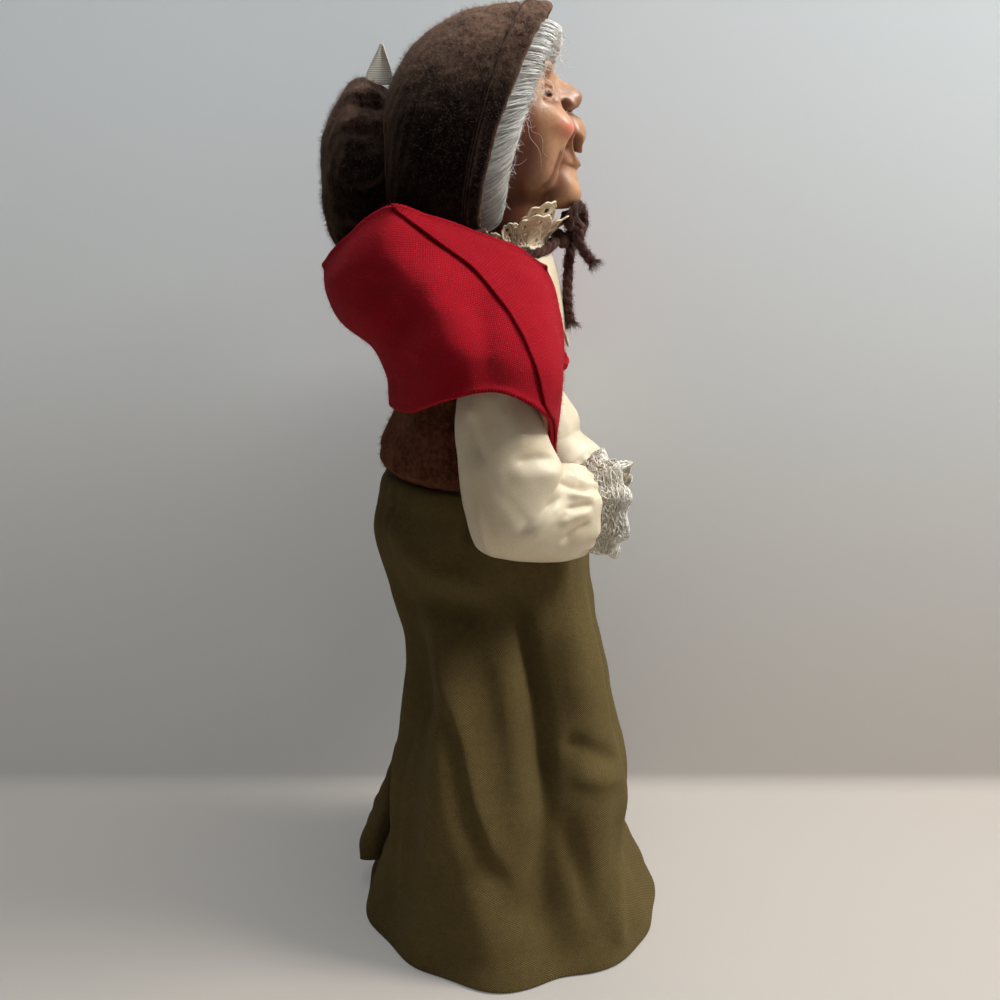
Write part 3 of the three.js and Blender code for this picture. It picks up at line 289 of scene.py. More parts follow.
def strands(name, paths, radii, sides, finish, marks=None):
    """Closed tubes along many paths at once, (count, steps, 3), each carried along its path without
    twist. radii may differ along a path, and round it. marks has a number for each path."""
    count, steps = paths.shape[:2]
    along = unit(np.gradient(paths, axis=1))
    upright = np.abs(along[:, :1, 2:]) < 0.9
    aside = np.where(upright, [0.0, 0, 1], [1.0, 0, 0])[:, 0]
    normal = np.empty_like(paths)
    for k in range(steps):
        aside = unit(aside - along[:, k] * (aside * along[:, k]).sum(-1, keepdims=True))
        normal[:, k] = aside
    second = np.cross(along, normal)
    angle = (2 * np.pi * np.arange(sides) / sides)[:, None]
    around = normal[:, :, None] * np.cos(angle) + second[:, :, None] * np.sin(angle)
    radii = np.broadcast_to(radii, (count, steps, sides) if np.ndim(radii) == 3 else (count, steps))
    radii = radii[..., None] if radii.ndim == 3 else radii[..., None, None]
    points = paths[:, :, None] + around * radii
    faces, r, c = grid_faces(steps, sides, False, True)
    first = np.arange(count)[:, None, None] * steps * sides
    start = np.arange(sides)[None, None, ::-1]
    end = np.arange(sides)[None, None] + (steps - 1) * sides
    blocks = [(part + first).reshape(-1, part.shape[-1]) for part in (faces[None], start, end)]
    length = np.concatenate(
        [np.zeros((count, 1)), np.cumsum(np.linalg.norm(np.diff(paths, axis=1), axis=-1), 1)], 1
    )
    wide = 2 * np.pi * np.mean(radii)
    uv = [
        np.stack([np.broadcast_to(c / sides * wide, (count, *c.shape)), length[:, r]], -1),
        np.zeros((count * sides, 2)),
        np.zeros((count * sides, 2)),
    ]
    uv = np.concatenate([part.reshape(-1, 2) for part in uv])
    spread = {key: np.repeat(part, steps * sides) for key, part in (marks or {}).items()}
    return make_piece(name, points, blocks, finish, uv, spread)


def scatter(surface, count, seed, closed=False, weight=None):
    """Seeded places on a surface grid, evenly by area times weight, with the outward normal and the
    direction down the rows there."""
    rng = np.random.default_rng(seed)
    rows, columns = surface.shape[:2]
    faces = grid_faces(rows, columns, False, closed)[0]
    points = surface.reshape(-1, 3)
    a, b, d, e = (points[faces[:, k]] for k in range(4))
    cross = np.cross(d - a, e - b)
    area = np.linalg.norm(cross, axis=-1)
    if weight is not None:
        area = area * weight.reshape(-1)[faces[:, 0]]
    pick = rng.choice(len(faces), count, p=area / area.sum())
    s, t = rng.random((2, count, 1))
    place = lerp(lerp(a[pick], b[pick], s), lerp(e[pick], d[pick], s), t)
    return place, -unit(cross[pick]), unit(e[pick] - a[pick]), rng


def fuzz(
    name, surface, count, seed, length, finish, closed=False, lean=0.6, rise=0.8, radius=0.05, weight=None
):
    """Short fibres on a surface grid: each leaves along a mix of the normal, the way down the cloth
    and chance, and bends once at its middle."""
    place, out, down, rng = scatter(surface, count, seed, closed, weight)
    chance = rng.normal(size=(2, count, 3)) * 0.6
    reach = length * rng.uniform(0.4, 1.3, (count, 1)) / 2
    first = unit(out * rise + down * lean + chance[0])
    second = unit(first + chance[1] + out * 0.1)
    root = place - out * 0.2
    middle = root + first * reach
    paths = np.stack([root, middle, middle + second * reach], 1)
    radii = radius * np.array([1, 0.8, 0.25]) * rng.uniform(0.7, 1.2, (count, 1))
    return strands(name, paths, radii, 3, finish, {"shade": rng.random(count)})


# Materials


def shade(red, green, blue):
    """A screen colour, 0 to 255, as the linear colour that a shader takes."""
    screen = np.array([red, green, blue]) / 255
    linear = np.where(screen > 0.04045, ((screen + 0.055) / 1.055) ** 2.4, screen / 12.92)
    return (*linear.tolist(), 1.0)


class Link:
    """An output of a material's node. Sums, differences, products and shares of it are Math nodes."""

    def __init__(self, finish, socket):
        self.finish = finish
        self.socket = socket

    def __add__(self, other):
        return self.finish.sums("ADD", self, other)

    def __sub__(self, other):
        return self.finish.sums("SUBTRACT", self, other)

    def __rsub__(self, other):
        return self.finish.sums("SUBTRACT", other, self)

    def __mul__(self, other):
        return self.finish.sums("MULTIPLY", self, other)

    def __truediv__(self, other):
        return self.finish.sums("DIVIDE", self, other)

    __radd__ = __add__
    __rmul__ = __mul__


class Finish:
    """One material, built node by node around one surface shader."""

    def __init__(self, name):
        self.material = bpy.data.materials.new(name)
        self.material.use_nodes = True
        self.tree = self.material.node_tree
        self.tree.nodes.clear()

    def node(self, kind, settings=None, inputs=None, out=0):
        """A node of a kind. Its settings are set first, then its inputs, by name or number, are given
        a value or linked. Returns the output asked for, by name or number."""
        made = self.tree.nodes.new(kind)
        for key, value in (settings or {}).items():
            setattr(made, key, value)
        for key, value in (inputs or {}).items():
            if isinstance(value, Link):
                self.tree.links.new(value.socket, made.inputs[key])
            else:
                made.inputs[key].default_value = value
        return Link(self, made.outputs[out]) if made.outputs else made

    def sums(self, operation, *values):
        """A Math node's operation on numbers and links."""
        return self.node("ShaderNodeMath", {"operation": operation}, dict(enumerate(values)))

    def place(self):
        """Object coordinates, in metres."""
        return self.node("ShaderNodeTexCoord", out=3)

    def part(self, vector, axis):
        """One number of a vector: 0, 1 or 2 for its x, y or z."""
        return self.node("ShaderNodeSeparateXYZ", None, {0: vector}, axis)

    def height(self, low, high):
        """0 below a height in metres and 1 above another, smooth between."""
        return self.steps(self.part(self.place(), 2), low, high)

    def along(self):
        """The cloth's own coordinates, in millimetres: as a vector, across it and down it."""
        at = self.node("ShaderNodeUVMap", {"uv_map": "cloth"})
        return at, self.part(at, 0), self.part(at, 1)

    def noise(self, at, size, detail=2.0, rough=0.5, scale=1000.0):
        """Cloudy noise whose clouds are about size millimetres wide."""
        inputs = {"Vector": at, "Scale": scale / size, "Detail": detail, "Roughness": rough}
        return self.node("ShaderNodeTexNoise", None, inputs)

    def steps(self, value, low, high):
        """0 at low and 1 at high, smooth between."""
        inputs = {0: value, 1: low, 2: high, 3: 0.0, 4: 1.0}
        return self.node("ShaderNodeMapRange", {"interpolation_type": "SMOOTHSTEP"}, inputs)

    def mix(self, share, first, second):
        """The first colour at share 0 and the second at 1."""
        return self.node("ShaderNodeMix", {"data_type": "RGBA"}, {0: share, 6: first, 7: second}, out=2)

    def mark(self, name):
        """The number of that name that the mesh carries at each point."""
        return self.node("ShaderNodeAttribute", {"attribute_name": name}, out=2)

    def relief(self, height, depth):
        """A bump of a height of 0 to 1, depth millimetres deep."""
        inputs = {"Height": height, "Distance": depth * MM, "Strength": 1.0}
        return self.node("ShaderNodeBump", None, inputs)

    def shader(self, colour, roughness, **inputs):
        """The surface shader. Inputs are named in its own words, with _ for a space."""
        sockets = {"Base Color": colour, "Roughness": roughness}
        sockets.update({key.replace("_", " "): value for key, value in inputs.items()})
        return self.node("ShaderNodeBsdfPrincipled", None, sockets)

    def finished(self, shader):
        """The material, with a shader for its surface."""
        self.node("ShaderNodeOutputMaterial", None, {"Surface": shader})
        return self.material

    def surface(self, colour, roughness, **inputs):
        """The material, with the surface shader alone."""
        return self.finished(self.shader(colour, roughness, **inputs))


def felt_finish(name, dark, light, sheen_tint, painted_top_light=None):
    """Fuzzy felt: three sizes of mottling between two colours, with the small ones raised. The last argument
    gives two heights in metres, above which a lighter third colour is painted over the mottling: painted
    light on the felt's top."""
    finish = Finish(name)
    at = finish.place()
    cloud = finish.noise(at, 9, 3)
    fleck = finish.noise(at, 1.6, 4, 0.65)
    hair = finish.noise(at, 0.35, 4, 0.8)
    share = finish.steps(cloud * 0.25 + fleck * 0.4 + hair * 0.35, 0.4, 0.62)
    colour = finish.mix(share, dark, light)
    # Painted light: above the given heights a lighter colour is painted over the felt's top.
    if painted_top_light:
        colour = finish.mix(finish.height(*painted_top_light[:2]) * share, colour, painted_top_light[2])
    normal = finish.relief(fleck * 0.5 + hair * 0.5, 0.9)
    return finish.surface(
        colour,
        0.95,
        Normal=normal,
        Sheen_Weight=0.7,
        Sheen_Roughness=0.3,
        Sheen_Tint=sheen_tint,
        Specular_IOR_Level=0.06,
    )


def fibre_finish(name, dark, light, painted_top_light=None):
    """Loose fibres, each of its own shade between two colours. They can take the same painted top light as
    the felt.
    """
    finish = Finish(name)
    share = finish.mark("shade")
    cloud = finish.noise(finish.place(), 2.5, 2)
    colour = finish.mix(finish.steps(share * 0.7 + cloud * 0.3, 0.1, 0.85), dark, light)
    # Painted light: above the given heights a lighter colour is painted over the fibres on the top.
    if painted_top_light:
        colour = finish.mix(finish.height(*painted_top_light[:2]) * share, colour, painted_top_light[2])
    return finish.surface(colour, 0.7, Sheen_Weight=0.1, Specular_IOR_Level=0.2)


def wool_finish():
    """Olive wool cloth: a fine plain weave, blurred by nap, with faint lighter and darker clouds."""
    finish = Finish("olive_wool")
    at, across, down = finish.along()
    wobble = finish.noise(at, 1.6, 2, scale=1.0)
    warp = finish.sums("SINE", (across + wobble * 0.5) * (2 * math.pi / 0.78))
    weft = finish.sums("SINE", (down + wobble * 0.5) * (2 * math.pi / 0.78))
    weave = warp * weft * 0.5 + 0.5
    cloud = finish.noise(at, 17, 3, scale=1.0)
    nap = finish.noise(at, 0.6, 4, 0.7, scale=1.0)
    thread = finish.noise(at, 2.2, 3, 0.6, scale=1.0)
    share = finish.steps(weave * 0.42 + nap * 0.4 + thread * 0.18, 0.28, 0.72)
    colour = finish.mix(share, shade(66, 55, 30), shade(126, 108, 66))
    colour = finish.mix(finish.steps(cloud, 0.35, 0.7) * 0.25, colour, shade(82, 68, 40))
    normal = finish.relief(weave * 0.55 + nap * 0.45, 0.5)
    return finish.surface(
        colour,
        0.92,
        Normal=normal,
        Sheen_Weight=0.2,
        Sheen_Roughness=0.45,
        Sheen_Tint=shade(150, 138, 100),
        Specular_IOR_Level=0.12,
    )


def knit_finish():
    """Red knit: columns of stitches, whose two legs slope to the column's middle, with painted shade in the
    gaps between them.
    """
    finish = Finish("red_knit")
    at, across, down = finish.along()
    wobble = finish.noise(at, 2.5, 2, scale=1.0)
    column = (across + wobble * 0.25) / 1.05
    fold = finish.sums("ABSOLUTE", finish.sums("FRACT", column) - 0.5)
    row = (down + wobble * 0.3) / 0.72
    leg = finish.sums("SINE", (row + fold * 1.3) * (2 * math.pi)) * 0.5 + 0.5
    seam = finish.steps(fold, 0.02, 0.14) * finish.steps(0.5 - fold, 0.0, 0.1)
    stitch = leg * 0.55 + seam * 0.45
    nap = finish.noise(at, 0.35, 3, 0.7, scale=1.0)
    cloud = finish.noise(at, 11, 2, scale=1.0)
    # Painted shade: the colour follows the stitch relief, darker in the gaps between legs and columns.
    share = finish.steps(stitch * 0.6 + nap * 0.4, 0.15, 0.75)
    colour = finish.mix(share, shade(100, 2, 10), shade(200, 15, 38))
    colour = finish.mix(finish.steps(cloud, 0.4, 0.7) * 0.2, colour, shade(166, 10, 30))
    normal = finish.relief(stitch * 0.7 + nap * 0.3, 0.6)
    return finish.surface(
        colour,
        0.85,
        Normal=normal,
        Sheen_Weight=0.08,
        Sheen_Roughness=0.5,
        Sheen_Tint=shade(255, 70, 85),
        Specular_IOR_Level=0.15,
    )


def satin_finish():
    """Cream satin: a fine ribbed grain along the cloth over a soft gloss."""
    finish = Finish("cream_satin")
    at, _, down = finish.along()
    wobble = finish.noise(at, 3, 2, scale=1.0)
    rib = finish.sums("SINE", (down + wobble * 0.9) * (2 * math.pi / 0.36)) * 0.5 + 0.5
    grain = finish.noise(at, 0.5, 3, 0.6, scale=1.0)
    cloud = finish.noise(at, 14, 3, scale=1.0)
    share = finish.steps(rib * 0.12 + grain * 0.4 + cloud * 0.48, 0.3, 0.7)
    colour = finish.mix(share, shade(214, 196, 164), shade(236, 224, 198))
    normal = finish.relief(rib * 0.4 + grain * 0.6, 0.08)
    return finish.surface(
        colour,
        finish.steps(grain, 0.2, 0.8) * 0.14 + 0.33,
        Normal=normal,
        Sheen_Weight=0.25,
        Sheen_Roughness=0.3,
        Specular_IOR_Level=0.55,
    )


def thread_finish(name, dark, light, gloss, holes=False):
    """Twisted cotton thread of the lace, with painted shade in its hollows, and open where its holes are."""
    finish = Finish(name)
    at = finish.place()
    twist = finish.noise(at, 0.5, 2, 0.6)
    cloud = finish.noise(at, 5, 2)
    # Painted shade: the colour follows the twist relief, darker where it is low.
    colour = finish.mix(finish.steps(twist * 0.6 + cloud * 0.4, 0.3, 0.7), dark, light)
    cover = 1.0 - finish.steps(finish.mark("hole"), 0.42, 0.55) if holes else 1.0
    gleam = 0.1 if holes else 0.4
    normal = finish.relief(twist, 0.12)
    return finish.surface(
        colour, gloss, Normal=normal, Sheen_Weight=0.2, Specular_IOR_Level=gleam, Alpha=cover
    )


def yarn_finish():
    """Dark brown wool yarn with lighter fibres."""
    finish = Finish("brown_yarn")
    at = finish.place()
    hair = finish.noise(at, 0.5, 4, 0.7)
    cloud = finish.noise(at, 3, 2)
    share = finish.steps(hair * 0.6 + cloud * 0.4, 0.35, 0.68)
    colour = finish.mix(share, shade(40, 20, 17), shade(96, 58, 48))
    return finish.surface(
        colour, 0.9, Normal=finish.relief(hair, 0.3), Sheen_Weight=0.2, Specular_IOR_Level=0.12
    )


def hair_finish(name, dark, light):
    """White mohair strands with a soft gloss, each of its own shade."""
    finish = Finish(name)
    cloud = finish.noise(finish.place(), 6, 2)
    share = finish.steps(finish.mark("shade") * 0.65 + cloud * 0.35, 0.1, 0.8)
    colour = finish.mix(share, dark, light)
    return finish.surface(colour, 0.38, Specular_IOR_Level=0.6, Sheen_Weight=0.15)


def skin_finish():
    """Painted clay: tan paint with a faint mottle, pink on the cheeks, reddish-brown lip paint round the
    mouth, and painted shade in the folds and hollows, on the nose, round the jaw and under the chin, under a
    gloss."""
    finish = Finish("painted_skin")
    at = finish.place()
    cloud = finish.noise(at, 12, 3)
    fleck = finish.noise(at, 1.5, 3, 0.6)
    colour = finish.mix(finish.steps(cloud * 0.7 + fleck * 0.3, 0.35, 0.65), shade(166, 120, 86),
                        shade(192, 146, 108))
    # This mark paints shade in the folds and hollows, on the nose, round the jaw and under the chin, and
    # reddish-brown lip paint round the mouth.
    colour = finish.mix(finish.mark("painted_shade_and_lips"), colour, shade(104, 50, 32))
    colour = finish.mix(finish.mark("blush"), colour, shade(222, 116, 96))
    colour = finish.mix(finish.mark("dark"), colour, shade(36, 17, 13))
    normal = finish.relief(cloud * 0.5 + fleck * 0.5, 0.12)
    return finish.surface(
        colour,
        finish.steps(fleck, 0.3, 0.7) * 0.1 + 0.42,
        Normal=normal,
        Coat_Weight=0.2,
        Coat_Roughness=0.25,
        Specular_IOR_Level=0.35,
    )


# The painted pupils: how far out from the middle, and how high.
PUPIL_ASIDE = 10.2
PUPIL_HEIGHT = 302.3


def eye_finish():
    """A painted eye: a dark iris and pupil round the gaze, on a pale ball."""
    finish = Finish("painted_eye")
    at = finish.place()
    aside = finish.sums("ABSOLUTE", finish.part(at, 0)) - PUPIL_ASIDE * MM
    height = finish.part(at, 2) - PUPIL_HEIGHT * MM
    off = finish.sums("SQRT", aside * aside + height * height)
    colour = finish.mix(finish.steps(off, 1.2 * MM, 1.5 * MM), shade(52, 44, 40), shade(206, 198, 186))
    colour = finish.mix(finish.steps(off, 0.5 * MM, 0.7 * MM), shade(10, 8, 8), colour)
    return finish.surface(colour, 0.1, Coat_Weight=1.0, Coat_Roughness=0.05)


def plain_finish(name, dark, light, size, roughness, depth, stretch=(1, 1, 1), metallic=0.0):
    """A plain mottled surface for the pieces under the clothes. stretch draws its grain out."""
    finish = Finish(name)
    at = finish.node("ShaderNodeMapping", None, {"Vector": finish.place(), "Scale": stretch})
    grain = finish.noise(at, size, 4, 0.6)
    colour = finish.mix(finish.steps(grain, 0.3, 0.7), dark, light)
    return finish.surface(
        colour, roughness, Normal=finish.relief(grain, depth), Metallic=metallic
    )


BONNET_SHADES = (shade(6, 4, 3), shade(36, 24, 19), shade(225, 185, 160))
FINISH = {
    "olive": wool_finish(),
    # The last tuple of the bonnet and pouch felt paints a lighter colour on their tops: painted light.
    "felt": felt_finish("bonnet_felt", *BONNET_SHADES, (0.296, 0.332, shade(136, 106, 90))),
    "pouch": felt_finish("pouch_felt", *BONNET_SHADES, (0.276, 0.312, shade(120, 92, 78))),
    "vest": felt_finish("vest_felt", shade(60, 31, 19), shade(124, 74, 52), shade(190, 140, 110)),
    "knit": knit_finish(),
    "satin": satin_finish(),
    "lace": thread_finish("lace_beige", shade(188, 164, 132), shade(228, 208, 176), 0.9, True),
    "braid": thread_finish("lace_band", shade(222, 204, 174), shade(250, 238, 214), 0.5),
    "silver": thread_finish("lace_silver", shade(246, 241, 224), shade(255, 253, 246), 0.3),
    "yarn": yarn_finish(),
    "skin": skin_finish(),
    "hair": hair_finish("white_hair", shade(166, 160, 148), shade(252, 252, 249)),
    "wood": plain_finish("base_wood", shade(120, 88, 56), shade(160, 124, 84), 3, 0.6, 0.1, (1, 0.08, 1)),
    "leather": plain_finish("shoe_leather", shade(18, 15, 13), shade(38, 33, 29), 1, 0.4, 0.15),
    "wire": plain_finish("armature_wire", shade(120, 122, 125), shade(170, 172, 175), 1, 0.35, 0.03,
                         (1, 1, 0.05), 1.0),
    "paper": plain_finish("wound_paper", shade(150, 134, 104), shade(196, 182, 150), 1.6, 0.9, 0.3,
                          (0.15, 0.15, 1.6)),
    "eye": eye_finish(),
    # The felt fibres get the same painted top light above these heights.
    "felt_fibre": fibre_finish("felt_fibres", shade(20, 12, 10), shade(96, 70, 57),
                               painted_top_light=(0.29, 0.33, shade(196, 164, 144))),
    "vest_fibre": fibre_finish("vest_fibres", shade(56, 30, 20), shade(134, 88, 66)),
    "red_fibre": fibre_finish("red_fibres", shade(140, 12, 26), shade(222, 50, 70)),
    "wool_fibre": fibre_finish("wool_fibres", shade(60, 50, 28), shade(128, 112, 76)),
    "yarn_fibre": fibre_finish("yarn_fibres", shade(44, 24, 20), shade(110, 74, 62)),
}


def dress(piece, body_name, slot, *nodes):
    """Rides a piece on a body, and lets it stand for the nodes. slot is not used."""
    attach(piece, body_name)
    if nodes:
        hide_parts(*nodes)
    return piece


# Camera


CAMERA_AWAY = 366
CAMERA_HEIGHT = 270
CAMERA_TILT = math.radians(16.1)
CAMERA_LENS = 37.44
SENSOR_WIDTH = 36
FRAME_PIXELS = 1000


def place_camera():
    """The photograph's view: from the doll's right, as high as its chin, and tilted down."""
    camera = bpy.data.cameras.new("camera")
    camera.sensor_width = SENSOR_WIDTH
    camera.lens = CAMERA_LENS
    holder = bpy.data.objects.new("camera", camera)
    holder.location = (-CAMERA_AWAY * MM, 0, CAMERA_HEIGHT * MM)
    holder.rotation_euler = (math.pi / 2 - CAMERA_TILT, 0, -math.pi / 2)
    bpy.context.scene.collection.objects.link(holder)
    bpy.context.scene.camera = holder


place_camera()


# Folds placed by the photograph


def seen(points):
    """Where the photograph's camera sees points, in pixels across and down its square frame."""
    away, up = points[..., 0] + CAMERA_AWAY, points[..., 2] - CAMERA_HEIGHT
    depth = away * math.cos(CAMERA_TILT) - up * math.sin(CAMERA_TILT)
    high = away * math.sin(CAMERA_TILT) + up * math.cos(CAMERA_TILT)
    focal, centre = FRAME_PIXELS * CAMERA_LENS / SENSOR_WIDTH, FRAME_PIXELS / 2
    return centre - focal * points[..., 1] / depth, centre - focal * high / depth


def beside(across, down, route):
    """Signed distance in pixels to a line of points, positive on its right on the way down, and a
    fade that rises from 0 at its ends to 1 along it."""
    best, side, along = np.full(across.shape, 1e9), np.ones(across.shape), np.zeros(across.shape)
    whole = 0.0
    for way, share, dx, dy in spans(across, down, route):
        long = math.hypot(*way)
        away = np.hypot(dx, dy)
        nearer = away < best
        side = np.where(nearer, np.sign(way[1] * dx - way[0] * dy), side)
        along = np.where(nearer, whole + share * long, along)
        best = np.minimum(best, away)
        whole += long
    fade = smoothstep(np.minimum(along, whole - along), 0, 0.3 * whole)
    return best * side, fade


def drape(surface, lines):
    """How far the lines push a surface out, in mm. A fold is a bell across its line. A ledge rises
    sharply on the line's right and sinks slowly away from it."""
    across, down = seen(surface)
    total = np.zeros(across.shape)
    for kind, width, height, route in lines:
        away, fade = beside(across, down, route)
        if kind == "ledge":
            shape = smoothstep(away, -width, width) * np.exp(-np.maximum(away, 0) / 42)
            shape = shape - 0.55 * bell((away + 1.6 * width) / (1.5 * width))
        else:
            shape = bell(away / width)
        total = total + height * shape * fade
    return total


# Bonnet tie: two free ends, a knot and two straps of twisted yarn

YARN_RADIUS = 1.7
BOW_ROUTE = [
    (-2.4, -23.3, 260.6), (-5.6, -23.4, 263.6), (-5.4, -25, 267), (-2, -26.8, 268),
    (0.8, -28.2, 265.4), (0.6, -28.4, 261.4), (-1.6, -27, 258.6), (-2.2, -26.8, 256.2),
    (-1.2, -28.4, 253.6), (-0.4, -30.2, 251.2), (0.4, -32.2, 249),
]
END_ROUTE = [
    (3.9, -23.2, 260), (4.7, -24.6, 257.2), (3.4, -24.4, 253.6), (1, -23.6, 249.2),
    (-0.8, -23.3, 243), (-1.2, -23.3, 237), (-1, -23.9, 232), (-1.2, -24.8, 228.5),
]
STRAP_ROUTE = [
    (20.8, 8.6, 260.2), (20.2, 0, 256), (17.8, -6, 253.2), (14.2, -10.8, 252.8),
    (9.2, -15.6, 254.2), (3.7, -19.6, 257),
]


def yarn(name, route, radius=YARN_RADIUS):
    """Three-ply yarn along a route: its radius swells and narrows three times round it, and the
    three lobes turn once every 9.3 mm. Both ends close in a short round tip."""
    steps, sides = 150, 24
    path = through(route, np.linspace(0, 1, steps))
    length = np.concatenate([[0], np.cumsum(np.linalg.norm(np.diff(path, axis=0), axis=1))])
    angle = 2 * np.pi * np.arange(sides) / sides
    lobes = np.abs(np.cos(1.5 * angle[None] + np.pi * length[:, None] / 3.1))
    tip = np.sqrt(np.clip(np.minimum(length, length[-1] - length) / 1.2, 0.03, 1))
    lumps = 1 + 0.06 * np.sin(length * 0.9 + route[0][0])
    radii = radius * (0.76 + 0.28 * lobes) * (tip * lumps)[:, None]
    piece = strands(name, path[None], radii[None], sides, FINISH["yarn"], {"shade": np.zeros(1)})
    return piece, path, length[-1]


def yarn_nap(name, path, seed, count, loose_end=0):
    """Fibres that stand off a yarn all round, and longer ones from its loose end."""
    rng = np.random.default_rng(seed)
    at = rng.integers(0, len(path), count + loose_end)
    at[count:] = len(path) - 1 - rng.integers(0, 6, loose_end)
    along = unit(np.gradient(path, axis=0))[at]
    way = rng.normal(size=(count + loose_end, 3))
    way = unit(way - along * (way * along).sum(-1, keepdims=True))
    root = path[at] + way * YARN_RADIUS * 0.7
    lean = along * rng.normal(0, 0.6, (len(at), 1))
    lean[count:] = along[count:] * rng.uniform(0.5, 1.6, (loose_end, 1))
    reach = rng.uniform(0.4, 1.1, (len(at), 1))
    reach[count:] *= 2.0
    middle = root + unit(way + lean) * reach
    end = middle + unit(way * 0.6 + lean + 0.7 * rng.normal(size=way.shape)) * reach
    radii = np.array([0.06, 0.05, 0.02]) * rng.uniform(0.7, 1.2, (len(at), 1))
    piece = strands(name, np.stack([root, middle, end], 1), radii, 3, FINISH["yarn_fibre"],
                    {"shade": rng.random(len(at))})
    dress(piece, "head", "brown_yarn")


for label, route, seed in (("tie_bow", BOW_ROUTE, 12), ("tie_end", END_ROUTE, 13)):
    made, path, length = yarn(f"{label}_yarn", route)
    dress(made, "head", "brown_yarn", label)
    tuple(path[0] * MM)
    length * MM
    [tuple(point) for point in path * MM]
    yarn_nap(f"{label}_nap", path, seed, 1500, 160)
for side, label in ((-1, "right"), (1, "left")):
    made, path, length = yarn(f"tie_strap_{label}_yarn", [(side * x, y, z) for x, y, z in STRAP_ROUTE])
    dress(made, "head", "brown_yarn", f"tie_strap_{label}")
    yarn_nap(f"tie_strap_{label}_nap", path, 14 + side, 500)


# Body shape under the clothes

CORE_SHARES = [
    [0, 0.89, 0.88, 1], [0.25, 0.89, 0.96, 1], [0.52, 0.96, 0.94, 1.1],
    [0.76, 1, 0.8, 0.97], [0.9, 0.85, 0.64, 0.65], [1, 0.48, 0.46, 0.4],
]
CORE_LOW = 146
CORE_LENGTH = 104
CORE_HALF_WIDTH = 27
CORE_HALF_DEPTH = 25
CORE_SHIFT = 6
SKIRT_TOP = 171.8
WAIST_RISE = 4.5


def body_oval(z, offset):
    """Half width, half depth and shift of the wound body at a height, offset outward."""
    wide, deep, shift = table_at(CORE_SHARES, np.clip((z - CORE_LOW) / CORE_LENGTH, 0, 1))
    return CORE_HALF_WIDTH * wide + offset, CORE_HALF_DEPTH * deep + offset, CORE_SHIFT * shift


def waist_rise(angle):
    """How much higher the waist lies at an angle: nothing at the front and all of it at the back."""
    return WAIST_RISE * (0.5 - 0.5 * np.cos(angle))


# Skirt

HEM_HEIGHT = 1.2
HEM_HALF_WIDTH = 61
HEM_HALF_DEPTH = 60
HEM_SHIFT = -4.6
FOLD_DEPTH = 6.5
SKIRT_OFF_CORE = 6.1
WAIST_TURN_SHARE = 0.95
SKIRT_SHARES = [
    [0, 1, 1, 1], [0.05, 0.93, 0.93, 0.9], [0.18, 0.85, 0.775, 0.65], [0.34, 0.79, 0.76, 1],
    [0.49, 0.72, 0.66, 0.85], [0.64, 0.66, 0.6, 0.6], [0.76, 0.61, 0.635, -0.5],
    [0.87, 0.575, 0.66, -1.4], [0.95, 0.53, 0.62, -1.5],
]
# Folds: angle at the hem and at the waist in degrees, width in degrees, depth share, and the shares
# of the height between which the fold is deepest.
FOLD_SHARES = [
    [2, 4, 13, 0.55, 0.2, 0.7], [28, 30, 10, 0.7, 0.25, 0.8], [48, 44, 14, 1, 0.15, 0.75],
    [97, 140, 15, 1.2, 0.2, 0.7], [128, 118, 12, 0.9, 0.1, 0.5], [160, 165, 13, 1, 0.3, 0.9],
    [195, 200, 13, 0.8, 0.2, 0.8], [232, 228, 14, 1, 0.15, 0.75], [268, 262, 13, 0.9, 0.2, 0.8],
    [305, 300, 14, 1, 0.15, 0.75], [334, 334, 12, 0.8, 0.2, 0.8], [72, 78, 9, -0.6, 0.2, 0.85],
]
# The near side's folds: kind, width in pixels, height in mm, and the line in the photograph.
SKIRT_LINES = [
    ("ledge", 8, 3.4,
     [(413, 640), (430, 668), (449, 707), (461, 742), (473, 804), (489, 848), (520, 900)]),
    ("ledge", 6, 2.3, [(429, 668), (425, 703), (415, 746), (403, 795), (401, 856), (398, 940)]),
    ("fold", 9, -2.6, [(510, 570), (519, 612), (527, 658), (539, 707), (545, 768), (546, 845)]),
    ("fold", 14, 1.6, [(492, 610), (502, 668), (512, 725), (520, 790), (520, 860)]),
    ("fold", 12, 2.8, [(403, 484), (403, 530), (412, 554), (438, 573), (480, 586), (512, 594)]),
    ("fold", 15, -3.0, [(394, 588), (422, 602), (462, 612), (490, 622)]),
    ("fold", 5, -1.9, [(397, 478), (393, 500), (391, 526)]),
    ("fold", 4, -1.6, [(461, 500), (463, 520), (465, 548)]),
    ("fold", 4, -1.6, [(473, 500), (475, 520), (478, 545)]),
    ("fold", 11, -2.4, [(556, 738), (588, 750), (624, 766)]),
    ("fold", 10, 1.9, [(566, 774), (600, 781), (626, 770)]),
    ("fold", 7, 2.4, [(613, 842), (617, 889), (618, 930), (622, 962)]),
    ("fold", 13, -2.8, [(562, 800), (574, 850), (592, 900), (602, 950)]),
    ("fold", 20, -1.8, [(470, 850), (505, 905), (560, 935)]),
    ("fold", 18, 1.5, [(560, 600), (572, 660), (585, 720)]),
]


def fold_at(angle, share):
    """How far the folds push the skirt out: a bell across each fold, which rises from the hem and
    fades to the waist."""
    degrees = np.degrees(angle) % 360
    total = -FOLD_DEPTH / 2 * (1 - smoothstep(share, 0.75, WAIST_TURN_SHARE))
    for at_hem, at_waist, width, depth, low, high in FOLD_SHARES:
        away = np.abs(degrees - (at_hem + (at_waist - at_hem) * share)) % 360
        away = np.minimum(away, 360 - away)
        rise = smoothstep(share, -low, low) * (1 - smoothstep(share, high - low, 1))
        total = total + FOLD_DEPTH * depth * rise * bell(away / width)
    return total


